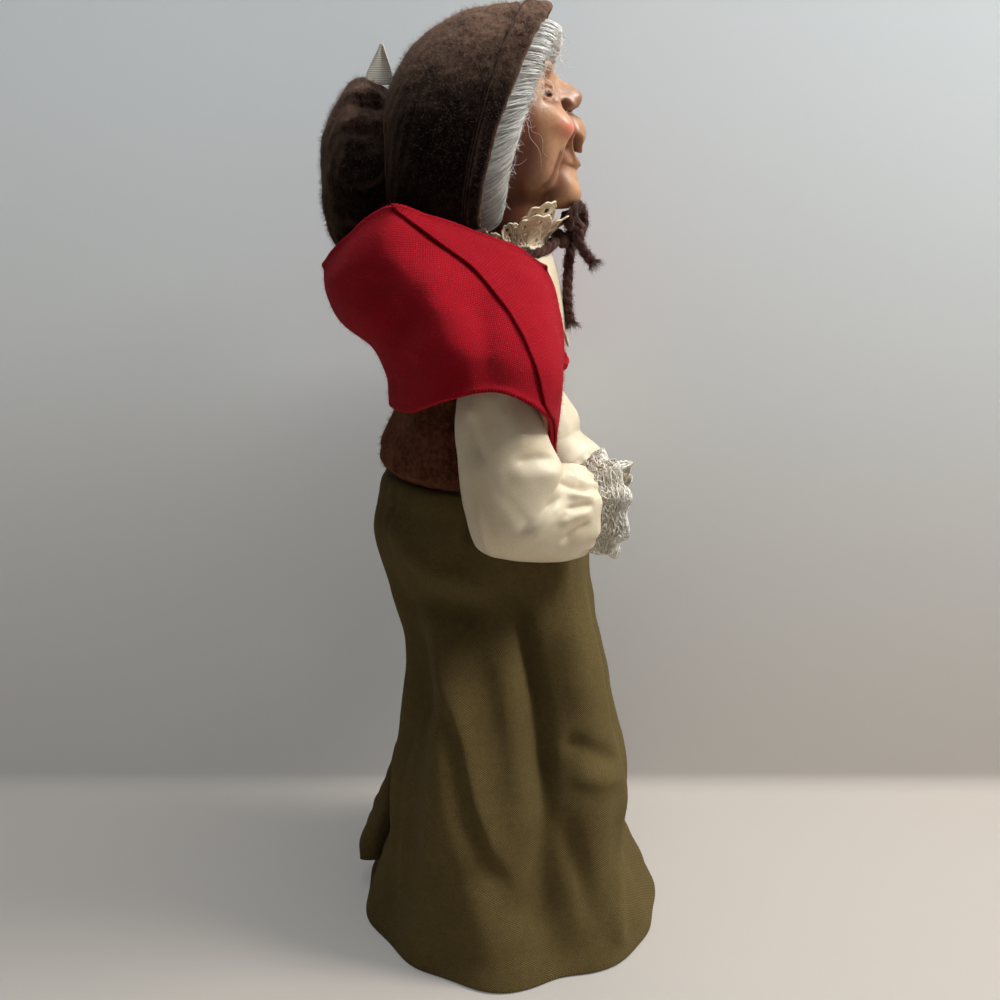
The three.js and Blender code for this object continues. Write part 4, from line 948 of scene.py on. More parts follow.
def skirt_level(angle, share):
    """The skirt's face below its turn to the waist: the ovals of its table, moved by the folds."""
    wide, deep, shift = table_at(SKIRT_SHARES, share)
    fold = fold_at(angle, share)
    z = HEM_HEIGHT + (SKIRT_TOP + waist_rise(angle) - HEM_HEIGHT) * share
    return ring(angle, HEM_HALF_WIDTH * wide + fold, HEM_HALF_DEPTH * deep + fold, HEM_SHIFT * shift, z)


def skirt_surface(angle, share):
    """The skirt's outer face: the ovals of its table with the folds, turned in to the waist above
    the last share, and small gathers under the waist."""
    level = skirt_level(angle, np.minimum(share, WAIST_TURN_SHARE))
    half_width, half_depth, shift = body_oval(SKIRT_TOP, SKIRT_OFF_CORE)
    top = ring(angle, half_width, half_depth, shift, SKIRT_TOP + waist_rise(angle))
    turn = np.clip((share - WAIST_TURN_SHARE) / (1 - WAIST_TURN_SHARE), 0, 1)
    turn = 0.5 * np.pi * turn[..., None]
    high = lerp(top, level, np.sqrt(np.maximum(np.cos(turn), 0)))
    high[..., 2] = lerp(level[..., 2], top[..., 2], np.sin(turn)[..., 0])
    out = unit(high * [1, 1, 0] - [0, HEM_SHIFT, 0])
    gather = smoothstep(share, 0.8, 0.94) * (1 - smoothstep(share, 0.985, 1))
    pleats = np.cos(19 * angle + 2 * np.sin(5 * angle)) + 0.4 * np.cos(31 * angle + 1)
    near = smoothstep(np.sin(angle), 0.0, 0.5)
    creases = (waves(high, 34, 3) * 0.7 + waves(high, 15, 4) * 0.25) * (1 - 0.5 * near)
    creases = creases + near * drape(high, SKIRT_LINES)
    kept = smoothstep(share, 0, 0.05) * (1 - smoothstep(share, 0.93, 1))
    push = gather * pleats * 0.35 + creases * kept
    return high + out * push[..., None]


def make_skirt():
    """The skirt's cloth and nap, with its rows closer together near the waist."""
    share, u = grid(170, 250, True)
    share = np.where(share < 0.85, share / 0.85 * 0.93, 0.93 + (share - 0.85) / 0.15 * 0.07)
    surface = skirt_surface(2 * np.pi * u, share)
    piece = cloth("skirt_cloth", surface, 1.6, FINISH["olive"], closed=True)
    dress(piece, "figure", "olive_wool", "skirt")
    nap = fuzz("skirt_nap", surface, 8000, 11, 1.0, FINISH["wool_fibre"], True, lean=-0.5,
               radius=0.035)
    dress(nap, "figure", "olive_wool")


make_skirt()

TAIL_TOP = 62
TAIL_LENGTH = 50
TAIL_ASIDE = 6
TAIL_BACK = 58
TAIL_HALF_WIDTH = 9
TAIL_HALF_DEPTH = 7
TAIL_SHARES = [[0, 1, 1], [0.15, 1, 0.96], [0.45, 0.85, 0.62], [0.75, 0.6, 0.26], [1, 0.35, 0.02]]


def make_tail():
    """The folded end of the back seam: ovals down its length, pinched in a long dent."""
    v, u = grid(60, 64, True)
    angle = 2 * np.pi * u
    wide, out = table_at(TAIL_SHARES, v)
    z = TAIL_TOP - TAIL_LENGTH * (1 - v)
    dent = 1 - 0.3 * bell((np.sin(0.5 * (angle - 2)) / 0.5)) * (1 - v)
    x = TAIL_ASIDE + TAIL_HALF_WIDTH * wide * np.cos(angle) * dent
    y = TAIL_BACK - 17 * (1 - out) - TAIL_HALF_DEPTH * wide * (1 + np.sin(angle))
    rings = np.stack([x, y, z + 1.5 * np.cos(2 * angle) * (1 - v)], -1)
    rings += waves(rings, 9, 6)[..., None] * [0.3, 0.3, 0.1]
    piece = body("skirt_tail_cloth", rings, FINISH["olive"])
    dress(piece, "figure", "olive_wool", "skirt_tail")


make_tail()


# Vest and blouse

VEST_TOP = 232
VEST_OFF_CORE = 4.4
VEST_PUFF = 8.5
VEST_PUFF_SHARES = [[0, 0.45], [0.07, 0.85], [0.17, 1], [0.3, 0.62], [0.5, 0.15], [1, 0]]


def angle_from_front(angle):
    """The angle back to the front, by the nearer way round."""
    return np.minimum(angle, 2 * np.pi - angle)


def make_vest():
    """A band round the body that puffs out over the waist, most at the back, with soft dents."""
    v, u = grid(80, 220, True)
    angle = 2 * np.pi * u
    low = SKIRT_TOP + 0.6 + waist_rise(angle)
    z = low + (VEST_TOP - low) * v
    amount = 0.5 - 0.5 * np.cos(angle) - 0.3 * np.sin(angle) ** 2
    puff = VEST_PUFF * table_at(VEST_PUFF_SHARES, v)[0] * amount
    flatter = 2.2 * bell(angle_from_front(angle) / 0.9)
    half_width, half_depth, shift = body_oval(z, VEST_OFF_CORE + puff - flatter)
    surface = ring(angle, half_width, half_depth, shift, z)
    out = unit(surface * [1, 1, 0] - [0, 5, 0])
    roll = 1.3 * amount * (bell((v - 0.05) / 0.05) - 0.8 * bell((v - 0.16) / 0.05))
    push = roll + waves(surface, 14, 21) * 0.6 * (1 - v) + waves(surface, 5, 22) * 0.15
    surface = surface + out * push[..., None]
    piece = cloth("vest_felt_cloth", surface, 2.0, FINISH["vest"], closed=True)
    dress(piece, "figure", "vest_felt", "vest")
    nap = fuzz("vest_nap", surface, 6500, 23, 1.5, FINISH["vest_fibre"], True, lean=-0.2,
               weight=1.2 - v)
    dress(nap, "figure", "vest_felt")


make_vest()


BLOUSE_TOP = 250
BLOUSE_BELOW_SKIRT = 14
BLOUSE_OFF_CORE = 1.6
FRONT_TOP = 255
FRONT_LENGTH = 34
FRONT_HALF_WIDTH = 14.4
# The blouse front's foremost line: a height, and its place in y.
FRONT_LINE = [[221, -24.4], [229, -22.5], [237, -21.2], [250, -18.6], [255, -16.2]]


def make_blouse():
    """The blouse round the body, and its front that ends in a point below the collar."""
    v, u = grid(60, 200, True)
    angle = 2 * np.pi * u
    z = lerp(SKIRT_TOP - BLOUSE_BELOW_SKIRT, BLOUSE_TOP, v)
    half_width, half_depth, shift = body_oval(z, BLOUSE_OFF_CORE)
    surface = ring(angle, half_width, half_depth, shift, z)
    piece = cloth("blouse_body_cloth", surface, 0.8, FINISH["satin"], closed=True)
    dress(piece, "figure", "cream_satin", "blouse_body")
    v, u = grid(90, 40)
    z = FRONT_TOP - FRONT_LENGTH * (1 - v)
    widen = smoothstep(v, 0, 0.5)
    x = FRONT_HALF_WIDTH * (0.1 + 0.9 * widen) * (1 - 2 * u)
    y = table_at(FRONT_LINE, z)[0] + 10 * (1 - np.sqrt(1 - (x / 15.5) ** 2))
    y = y - 0.5 * np.cos(3 * np.pi * (u - 0.5)) * np.sin(np.pi * v) ** 0.5
    piece = cloth("blouse_front_cloth", np.stack([x, y, z], -1), 0.9, FINISH["satin"])
    dress(piece, "figure", "cream_satin", "blouse_front")


make_blouse()


# Arms: sleeves and lace cuffs

ARMS = {
    "right": [(-41, 5.2, 236), (-49.5, -3, 172), (-36, -27.5, 172)],
    "left": [(41, 5.2, 236), (49.5, -18, 169), (34, -35, 159)],
}
ELBOW_ROUND = 17
ARM_RADIUS = 7.3
SLEEVE_HALF_WIDTH = 13.5
SLEEVE_HALF_HEIGHT = 16.5
CUFF_RADIUS = 11.55
CUFF_FLARE = 5.45
CUFF_LENGTH = 8
CUFF_RUFFLES = 9
SLEEVE_SHARES = [
    [0, 0, 0], [0.2, 0.8, 0.55], [0.4, 1, 0.75], [0.6, 1, 0.91], [0.8, 0.96, 1],
    [0.94, 0.84, 0.88], [1, 0.6, 0.68],
]


def arm_route(label):
    """The arm's middle line: from the shoulder it rounds the elbow's corner to the sleeve's end."""
    shoulder, elbow, end = (np.array(point, float) for point in ARMS[label])
    above = elbow + unit(shoulder - elbow) * ELBOW_ROUND
    beyond = elbow + unit(end - elbow) * ELBOW_ROUND
    bend = (elbow + (above + beyond) / 2) / 2
    return [shoulder, (shoulder + above) / 2, above, bend, beyond, end]


def arm_frame(label, share):
    """The middle line at a share of the arm, and its directions along, across and up."""
    route = arm_route(label)
    middle = through(route, share)
    along = unit(through(route, share + 0.0005) - through(route, share - 0.0005))
    across = unit(np.array([1.0, 0, 0]) - along * along[..., :1])
    return middle, along, across, np.cross(along, across)


SLEEVE_LINES = [
    ("fold", 5, -1.0, [(508, 463), (530, 459), (552, 461)]),
    ("fold", 8, 0.8, [(505, 478), (530, 473), (554, 474)]),
    ("ledge", 2.5, -1.6, [(517, 537), (540, 517), (565, 495)]),
    ("fold", 5, 1.3, [(524, 544), (547, 524), (572, 503)]),
    ("fold", 3.5, 0.9, [(470, 484), (480, 511), (490, 536), (500, 556)]),
    ("fold", 3, -0.7, [(478, 484), (488, 511), (497, 533)]),
    ("fold", 3.5, 1.1, [(556, 466), (572, 476), (592, 486)]),
    ("fold", 2.6, -1.2, [(552, 477), (570, 486), (592, 493)]),
    ("fold", 3.5, 1.2, [(566, 494), (580, 496), (596, 498)]),
    ("fold", 2.6, -1.1, [(562, 510), (577, 507), (596, 504)]),
    ("fold", 4, 1.0, [(556, 526), (573, 517), (594, 511)]),
    ("fold", 3, -1.1, [(560, 545), (576, 532), (592, 521)]),
    ("fold", 6, -0.9, [(470, 410), (474, 440), (484, 470)]),
    ("fold", 9, 0.9, [(500, 400), (512, 430), (524, 452)]),
]


def make_sleeve(label):
    """A satin sleeve round the arm's middle line. Its folds are the photograph's, and soft ones fan
    from the gathered wrist."""
    v, u = grid(130, 170, True)
    theta = 2 * np.pi * u
    share = 0.05 + 0.95 * v
    middle, _, across, up = arm_frame(label, share)
    wide, high = table_at(SLEEVE_SHARES, v)
    wrist = smoothstep(v, 0.8, 1)
    folds = 0.5 * wrist * np.cos(13 * theta + 2 * np.sin(3 * theta)) * v
    folds = folds + 0.5 * smoothstep(0.25 - v, 0, 0.2) * np.cos(9 * theta)
    half_width = lerp(ARM_RADIUS, SLEEVE_HALF_WIDTH, wide) + folds
    half_height = lerp(ARM_RADIUS, SLEEVE_HALF_HEIGHT, high) + folds
    surface = (
        middle
        + across * (half_width * np.cos(theta))[..., None]
        - up * (half_height * np.sin(theta))[..., None]
    )
    out = unit(surface - middle)
    push = waves(surface, 17, 31) * 0.45 + waves(surface, 7, 32) * 0.12
    if label == "right":
        push = push + smoothstep(-out[..., 0], 0.05, 0.45) * drape(surface, SLEEVE_LINES)
    surface = surface + out * push[..., None]
    surface[..., 1] -= 4.2 * bell((share - 0.42) / 0.15) * np.clip(-out[..., 1], 0, 1)
    corner = bell((share - 0.54) / 0.11) * np.clip(0.45 * out[..., 1] - 0.9 * out[..., 2], 0, 1) ** 2
    surface = surface + corner[..., None] * np.array([0, 1.2, -6.0])
    piece = cloth(f"sleeve_{label}_satin", surface, 0.8, FINISH["satin"], closed=True)
    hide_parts(f"sleeve_{label}")
    ends = [tuple(point * MM) for point in through(arm_route(label), np.array([0.5, 0.7]))]
    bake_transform(piece)


def cuff_point(label, theta, share):
    """A place on the cuff's frill: it flares from the sleeve's end, with ruffles that deepen to its
    edge."""
    middle, along, across, up = arm_frame(label, np.ones_like(share))
    ruffle = 1.4 * share * np.cos(CUFF_RUFFLES * theta)
    high = CUFF_RADIUS + CUFF_FLARE * np.sin(0.5 * np.pi * np.clip(share, 0, 1.2)) + ruffle
    wide = 0.8 * (high - ruffle) + ruffle
    return (
        middle
        + across * (wide * np.cos(theta))[..., None]
        - up * (high * np.sin(theta))[..., None]
        + along * (0.3 + CUFF_LENGTH * share)[..., None]
    )


def make_cuff(label):
    """The satin's gathered end, and looped lace sewn over it: rings of fine thread round the frill,
    rows of loops between them, and closer loops at its edge."""
    rng = np.random.default_rng(41)
    v, u = grid(24, 180, True)
    frill = cuff_point(label, 2 * np.pi * u, lerp(-0.05, 0.8, v))
    centre = frill.mean(1, keepdims=True)
    frill = frill - unit(frill - centre) * (0.25 + 0.7 * v + 0.2 * waves(frill, 4, 42))[..., None]
    piece = cloth(f"cuff_frill_{label}_satin", frill, 0.5, FINISH["satin"], closed=True)
    dress(piece, f"forearm_{label}", "cream_satin")
    turn = np.linspace(0, 2 * np.pi, 720)
    paths, radii = [], []
    rows = [(0.08 + 0.15 * k, 40 + 3 * (k % 3), 0.11, 2.4 * k) for k in range(7)]
    for level, loops, height, phase in rows + [(0.97, 48, 0.08, 0.3), (1.0, 24, 0.09, 1.1)]:
        slide = 1.2 * np.pi / loops * np.sin(2 * loops * turn + phase)
        uneven = 1 + 0.3 * np.sin(5 * turn + level * 9)
        rise = level + height * np.sin(loops * turn + phase) * uneven
        rise = rise + 0.02 * waves(turn[:, None] * 20, 7, int(100 * level))
        path = cuff_point(label, turn + slide, rise)
        out = unit(path - path.mean(0))
        wobble = 0.4 * np.cos(loops * turn + phase) + 0.45 * np.sin(14 * turn + 3 * level)
        paths.append(path + out * wobble[:, None])
        radii.append(0.15 * rng.uniform(0.8, 1.3))
    for level in (0.1, 0.5, 0.86):
        paths.append(cuff_point(label, turn, np.full_like(turn, level)))
        radii.append(0.2)
    paths = np.stack(paths)
    radii = np.array(radii)[:, None] * np.ones(paths.shape[:2])
    piece = strands(f"lace_cuff_{label}_thread", paths, radii, 3, FINISH["silver"])
    dress(piece, f"forearm_{label}", "cream_lace", f"lace_cuff_{label}")


for label in ("right", "left"):
    make_sleeve(label)
    make_cuff(label)


# Shawl

SHAWL_HALF_WIDTH = 62
SHAWL_BACK = 61
SHAWL_LOW = 191
SHAWL_TALL = 77
LAST_STATION = 7
# Stations from the front edge to the middle of the back, each with five places from the neck edge
# down to the hem: shares of the half width, the back depth and the height.
SHAWL_SHARES = np.array([
    [[0.25, -0.235, 0.75], [0.15, -0.3, 0.63], [0.12, -0.335, 0.455],
     [0.27, -0.335, 0.23], [0.6, -0.285, 0]],
    [[0.37, -0.16, 0.79], [0.34, -0.25, 0.71], [0.39, -0.32, 0.52],
     [0.52, -0.33, 0.29], [0.74, -0.28, 0.12]],
    [[0.45, -0.06, 0.845], [0.56, -0.1, 0.79], [0.74, -0.2, 0.61],
     [0.92, -0.25, 0.4], [1, -0.21, 0.25]],
    [[0.51, 0.15, 0.9], [0.61, 0.13, 0.845], [0.81, 0.1, 0.67],
     [0.97, 0.05, 0.49], [1.02, 0.02, 0.33]],
    [[0.55, 0.36, 0.96], [0.68, 0.38, 0.87], [0.84, 0.36, 0.69],
     [0.94, 0.31, 0.48], [0.94, 0.28, 0.28]],
    [[0.565, 0.575, 1], [0.69, 0.62, 0.87], [0.76, 0.61, 0.65],
     [0.74, 0.51, 0.41], [0.69, 0.465, 0.195]],
    [[0.37, 0.82, 0.87], [0.45, 0.855, 0.74], [0.47, 0.79, 0.57],
     [0.435, 0.645, 0.365], [0.39, 0.6, 0.17]],
    [[0, 1, 0.74], [0, 0.985, 0.61], [0, 0.9, 0.48],
     [0, 0.67, 0.325], [0, 0.64, 0.155]],
])
LEFT_HEM_SHARES = [
    [0, -0.38, -0.1, 0.27], [1, -0.14, -0.13, 0.16], [2, 0, -0.07, 0.05], [3, 0, 0, 0], [8, 0, 0, 0],
]
# The lapel's fold: a share of the way from the neck to the hem, and its station there.
LAPEL_SHARES = [
    [0, 4.85], [0.03, 4.72], [0.14, 4.13], [0.24, 3.75], [0.325, 3.36], [0.395, 3], [0.455, 2.79],
    [0.54, 2.59], [0.635, 2.47], [0.73, 2.36], [0.85, 2.2], [0.96, 1.99], [1, 1.75],
]
SHAWL_LINES = [
    ("fold", 26, -4.0, [(346, 262), (368, 290), (392, 322), (410, 356)]),
    ("fold", 9, 1.2, [(328, 262), (334, 285), (348, 310), (368, 336)]),
    ("fold", 22, 2.0, [(412, 250), (432, 300), (452, 345), (462, 385)]),
    ("fold", 12, -1.5, [(478, 390), (486, 360), (484, 320), (470, 290)]),
    ("fold", 14, -1.6, [(384, 396), (398, 378), (410, 350)]),
]


def shawl_surface(side, station, v):
    """The knit's outer face at a station and a share v from hem to neck: curves down each station,
    then a curve across the stations. The left front corner is drawn in and up."""
    rows = np.arange(5) / 4
    line = 1 - v[:, 0]
    stations = []
    for shares in SHAWL_SHARES:
        stations.append(table_at(np.column_stack([rows, shares]), line))
    stations = np.stack(stations)
    mirrored = stations[-2] * np.array([-1, 1, 1])[:, None]
    stations = np.concatenate([stations, mirrored[None]])
    place = station[0]
    numbers = np.arange(len(stations))[:, None]
    table = np.concatenate([numbers, stations.reshape(len(stations), -1)], 1)
    wide, deep, high = table_at(table, place).reshape(3, len(line), len(place))
    if side > 0:
        inward, forward, upward = table_at(LEFT_HEM_SHARES, station) * (1 - v) ** 4
        wide, deep, high = wide + inward, deep + forward, high + upward
    x = side * SHAWL_HALF_WIDTH * wide
    return np.stack([x, SHAWL_BACK * deep, SHAWL_LOW + SHAWL_TALL * high], -1)


def sample(surface, row, column):
    """A surface grid's points at uneven rows and columns, by straight lines between its points."""
    r = np.clip(row, 0, surface.shape[0] - 1.001)
    c = np.clip(column, 0, surface.shape[1] - 1.001)
    i, j = r.astype(int), c.astype(int)
    s, t = (r - i)[..., None], (c - j)[..., None]
    upper = lerp(surface[i, j], surface[i, j + 1], t)
    return lerp(upper, lerp(surface[i + 1, j], surface[i + 1, j + 1], t), s)


def make_shawl(side, label):
    """One half of the shawl, from its front edge to the middle of the back, with soft dents and a
    rolled edge, and the lapel folded back over it in front of its crisp fold."""
    v, u = grid(100, 180)
    last_row, last_column = v.shape[0] - 1, v.shape[1] - 1
    surface = shawl_surface(side, LAST_STATION * u, v)
    across, down = slopes(surface, False)
    out = unit(np.cross(down, across)) * -side
    dents = waves(surface, 26, 51) * 0.5 + waves(surface, 9, 52) * 0.12
    if side < 0:
        dents = dents + drape(surface, SHAWL_LINES)
    from_front, from_back = LAST_STATION * u, LAST_STATION - LAST_STATION * u
    dents = dents * smoothstep(from_back, 0, 0.4) * smoothstep(from_front, 0, 0.6)
    roll = 0.6 * (bell(v / 0.02) + bell((1 - v) / 0.02)) + 0.4 * bell(u / 0.01)
    surface = surface + out * (dents * 0.8 + roll - 0.6)[..., None]
    row, part = grid(95, 90)
    edge = table_at(LAPEL_SHARES, 1 - row)[0]
    column = edge * part / LAST_STATION * last_column
    lapel = sample(surface, row * last_row, column)
    away = (1 - part) * edge
    lift = 0.95 + 0.25 * bell((away - 0.25) / 0.3) + 0.15 * waves(lapel, 20, 54)
    lapel = lapel + sample(out, row * last_row, column) * lift[..., None]
    if side > 0:
        surface, lapel = surface[:, ::-1], lapel[:, ::-1]
    piece = cloth(f"shawl_{label}_knit", surface, 1.5, FINISH["knit"])
    flap = cloth(f"shawl_{label}_lapel", lapel, 0.8, FINISH["knit"])
    return piece, flap, surface, lapel


def blend_shawl(piece, label):
    """Bakes a piece of the shawl's placement into its mesh. A start and end across the shoulder, for passing
    from the figure to the upper arm, are worked out but not used.
    """
    side = -1 if label == "right" else 1
    start, end = (side * 0.030, 0.005, 0.245), (side * 0.060, 0.0, 0.215)
    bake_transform(piece)


for side, label in ((-1, "right"), (1, "left")):
    piece, flap, surface, lapel = make_shawl(side, label)
    if side < 0:
        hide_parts("shawl")
    naps = []
    for part, face, count in (("knit", surface, 4000), ("lapel", lapel, 2200)):
        nap = fuzz(f"shawl_{label}_{part}_nap", face, count, 53, 1.4, FINISH["red_fibre"], lean=0.1,
                   radius=0.035)
        naps.append(nap)
    for made in (piece, flap, *naps):
        blend_shawl(made, label)


# Lace collar

NECK_RADIUS = 17.3
NECK_SHIFT = 2
NECK_TOP = 255.6
BAND_RADIUS = 17.4
SHELL_RIBS = 13
SHELL_LIMIT = 1.34
SHELL_STEP = 36.4
# Layers of shells: lift and height in mm, lean, the first shell's angle, and how many.
SHELL_LAYERS = [(-0.6, 10.6, 0.8, 16.0, 10), (0.8, 13.4, 0.4, 34.0, 9)]
# Threads across a shell: level, wave, waves and thickness.
SHELL_ARCS = [(0.64, 0.01, 26, 0.14), (0.92, 0.02, 26, 0.2), (0.985, 0.02, 18, 0.34)]
# Threads of the band: height in mm, loops and their reach in mm.
BAND_THREADS = [(252.6, 96, 0.5), (253.9, 96, 0.5), (255.3, 84, 0.5), (256.6, 70, 0.6)]


def shell_place(angle, lift, tall, lean, turn, reach):
    """A place on a crocheted shell that stands on the neck band at an angle round the neck, leans
    out and curls at its tip: turned from its middle rib, and a share of its scalloped reach."""
    edge = tall * np.cos(turn) ** 0.42 * (1 + 0.045 * reach * np.abs(np.sin(9 * turn)))
    side, high = reach * edge * np.sin(turn), reach * edge * np.cos(turn)
    share = high / tall
    out = lean * (0.3 * share + 0.7 * share**2) * tall + 0.5 * np.sin(5 * turn + angle) * share
    radius = NECK_RADIUS + out
    place = ring(angle + side / 18.5, radius, radius, NECK_SHIFT, NECK_TOP + lift + high - 0.12 * lean * high)
    return place + 0.3 * waves(place, 9, 46)[..., None] * [1, 1, 0.4]


def make_shell(name, angle, lift, tall, lean):
    """One shell: thin cloth with two rings of holes between its ribs, and the threads over it, of
    the ribs, two arcs and a looped rim."""
    v, u = grid(24, 56)
    turn, reach = SHELL_LIMIT * (2 * u - 1), 0.04 + 0.94 * v
    surface = shell_place(angle, lift, tall, lean, turn, reach)
    gaps = smoothstep(np.cos(SHELL_RIBS * turn), -0.3, 0.5)
    rings = bell((reach - 0.48) / 0.07) + bell((reach - 0.78) / 0.06)
    piece = cloth(f"{name}_ground", surface, 0.25, FINISH["lace"], marks={"hole": gaps * rings})
    dress(piece, "figure", "cream_lace", "lace_collar")
    t = np.linspace(0, 1, 84)
    threads, radii = [], []
    for k in range(6):
        rib = np.clip((k - 2.5) * 2 * np.pi / SHELL_RIBS, -SHELL_LIMIT, SHELL_LIMIT) + 0 * t
        threads.append(shell_place(angle, lift, tall, lean, rib, 0.1 + 0.88 * t))
        radii.append(0.11)
    for level, wave, count, thick in SHELL_ARCS:
        arc = level + wave * np.sin(count * np.pi * t)
        threads.append(shell_place(angle, lift, tall, lean, SHELL_LIMIT * (2 * t - 1), arc))
        radii.append(thick)
    radii = np.array(radii)[:, None] * np.ones((1, len(t)))
    piece = strands(f"{name}_thread", np.stack(threads), radii, 4, FINISH["braid"])
    dress(piece, "figure", "cream_lace")


def make_collar():
    """Crocheted shells in two layers round the neck, open at the front and lower under the hair, on
    a narrow band of looped threads."""
    rng = np.random.default_rng(44)
    k = 0
    for lift, tall, lean, start, count in SHELL_LAYERS:
        for at in start + SHELL_STEP * np.arange(count):
            place = math.radians(at + rng.uniform(-3, 3))
            size, tilt = tall * rng.uniform(0.92, 1.06), lean + rng.uniform(-0.1, 0.14)
            if 56 < at < 304:
                size, tilt = 0.42 * size, 0.0
            make_shell(f"lace_collar_shell_{k}", place, lift + rng.uniform(-0.5, 0.5), size, tilt)
            k += 1
    t = np.linspace(0, 1, 520)
    paths = []
    angle = math.radians(14) + (2 * math.pi - math.radians(28)) * t
    for level, loops, reach in BAND_THREADS:
        z = level + reach * np.sin(loops * 2 * np.pi * t)
        paths.append(ring(angle, BAND_RADIUS + 0 * t, BAND_RADIUS + 0 * t, NECK_SHIFT, z))
    paths = np.stack(paths)
    piece = strands("lace_collar_band", paths, np.full(paths.shape[:2], 0.33), 5, FINISH["braid"])
    dress(piece, "figure", "cream_lace")


make_collar()


# Head

HEAD_CENTRE = np.array([0, 4, 300.0])
FACE_REACH = 26
EYE_REACH = 22.5
# Ovals of the head: centre and half sizes of the skull, face, chin and throat.
LUMPS = [
    ((0, 4, 300), (21.5, 22, 26)),
    ((0, -8.5, 288), (17, 15, 20)),
    ((0, -19, 274), (8, 8, 8)),
    ((0, -3, 264), (10.5, 11, 13)),
]
# Profile of the face's middle: lift in degrees, its reach as a share of FACE_REACH, and the degrees
# over which it passes into the rounded face.
PROFILE_SHARES = [
    [-75, 1.72, 24], [-63, 1.53, 26], [-56, 1.54, 26], [-52.5, 1.6, 26], [-47, 1.67, 24],
    [-42, 1.63, 20],
    [-38, 1.47, 18], [-35, 1.375, 15], [-32, 1.38, 12], [-28.5, 1.325, 13], [-23, 1.305, 15],
    [-16, 1.315, 17], [-8.5, 1.22, 13], [-4.3, 1.08, 9], [-0.5, 1.158, 9.5], [4.6, 1.2, 9.5],
    [9, 1.154, 8.5], [19, 0.962, 8], [35, 0.88, 20],
]
# Features: turn from the face's middle and lift in degrees, their widths, and the height in mm.
FEATURES = [
    [20, 29, 12, 6, 1.9], [24, 20, 8, 5, -1.3], [27, -12.5, 10.5, 9.5, 3.9], [38, -25, 12, 16, 0.9],
    [9.5, -0.5, 3.8, 3.8, 1.4], [5, -5.5, 2.4, 1.6, -1.8], [0, -12, 2.2, 6, -0.7],
    [14.5, -27, 3.5, 4, -1.3], [0, -35, 7, 2.6, 0.6], [32, -46, 9, 9, 0.8],
]
# Folds: turn and lift along each, its width in degrees and its depth in mm.
CREASES = [
    ([(12.5, -1), (15, -9), (17.2, -17), (17.2, -26)], 2.5, -2.5),
    ([(17.4, -30), (19.6, -40), (21.3, -52)], 3.4, -1.0),
    ([(26, -32), (28.5, -41), (31, -50)], 2.6, -0.7),
    ([(11.5, 2), (13, -2), (11, -5.5), (7, -6.5)], 1.5, -0.6),
    ([(20, 11.5), (28, 13.5), (37, 9.5)], 1.7, -1.0), ([(21, 1.5), (29, -0.5), (37, 1.5)], 1.6, -0.7),
]
EYE = (29, 6.2)


def near_line(turn, lift, route):
    """Distance in degrees from places on the head to a line of points."""
    return np.min([np.hypot(dx, dy) for _, _, dx, dy in spans(turn, lift, route)], axis=0)


def head_base(direction):
    """How far the head's ovals, melted together, reach along a direction, found by halving."""
    near, far = np.zeros(direction.shape[:-1]), np.full(direction.shape[:-1], 96.0)
    for _ in range(26):
        middle = (near + far) / 2
        points = HEAD_CENTRE + direction * middle[..., None]
        total = 0
        for place, size in LUMPS:
            out = np.linalg.norm((points - place) / size, axis=-1) - 1
            total = total + np.exp(-out * min(size) / 3.2 * 2)
        inside = -np.log(np.maximum(total, 1e-30)) < 0
        near, far = np.where(inside, middle, near), np.where(inside, far, middle)
    return near


def toward(turn, lift):
    """The direction at a turn from the front and a lift from the level."""
    return np.stack([np.sin(turn) * np.cos(lift), -np.cos(turn) * np.cos(lift), np.sin(lift)], -1)


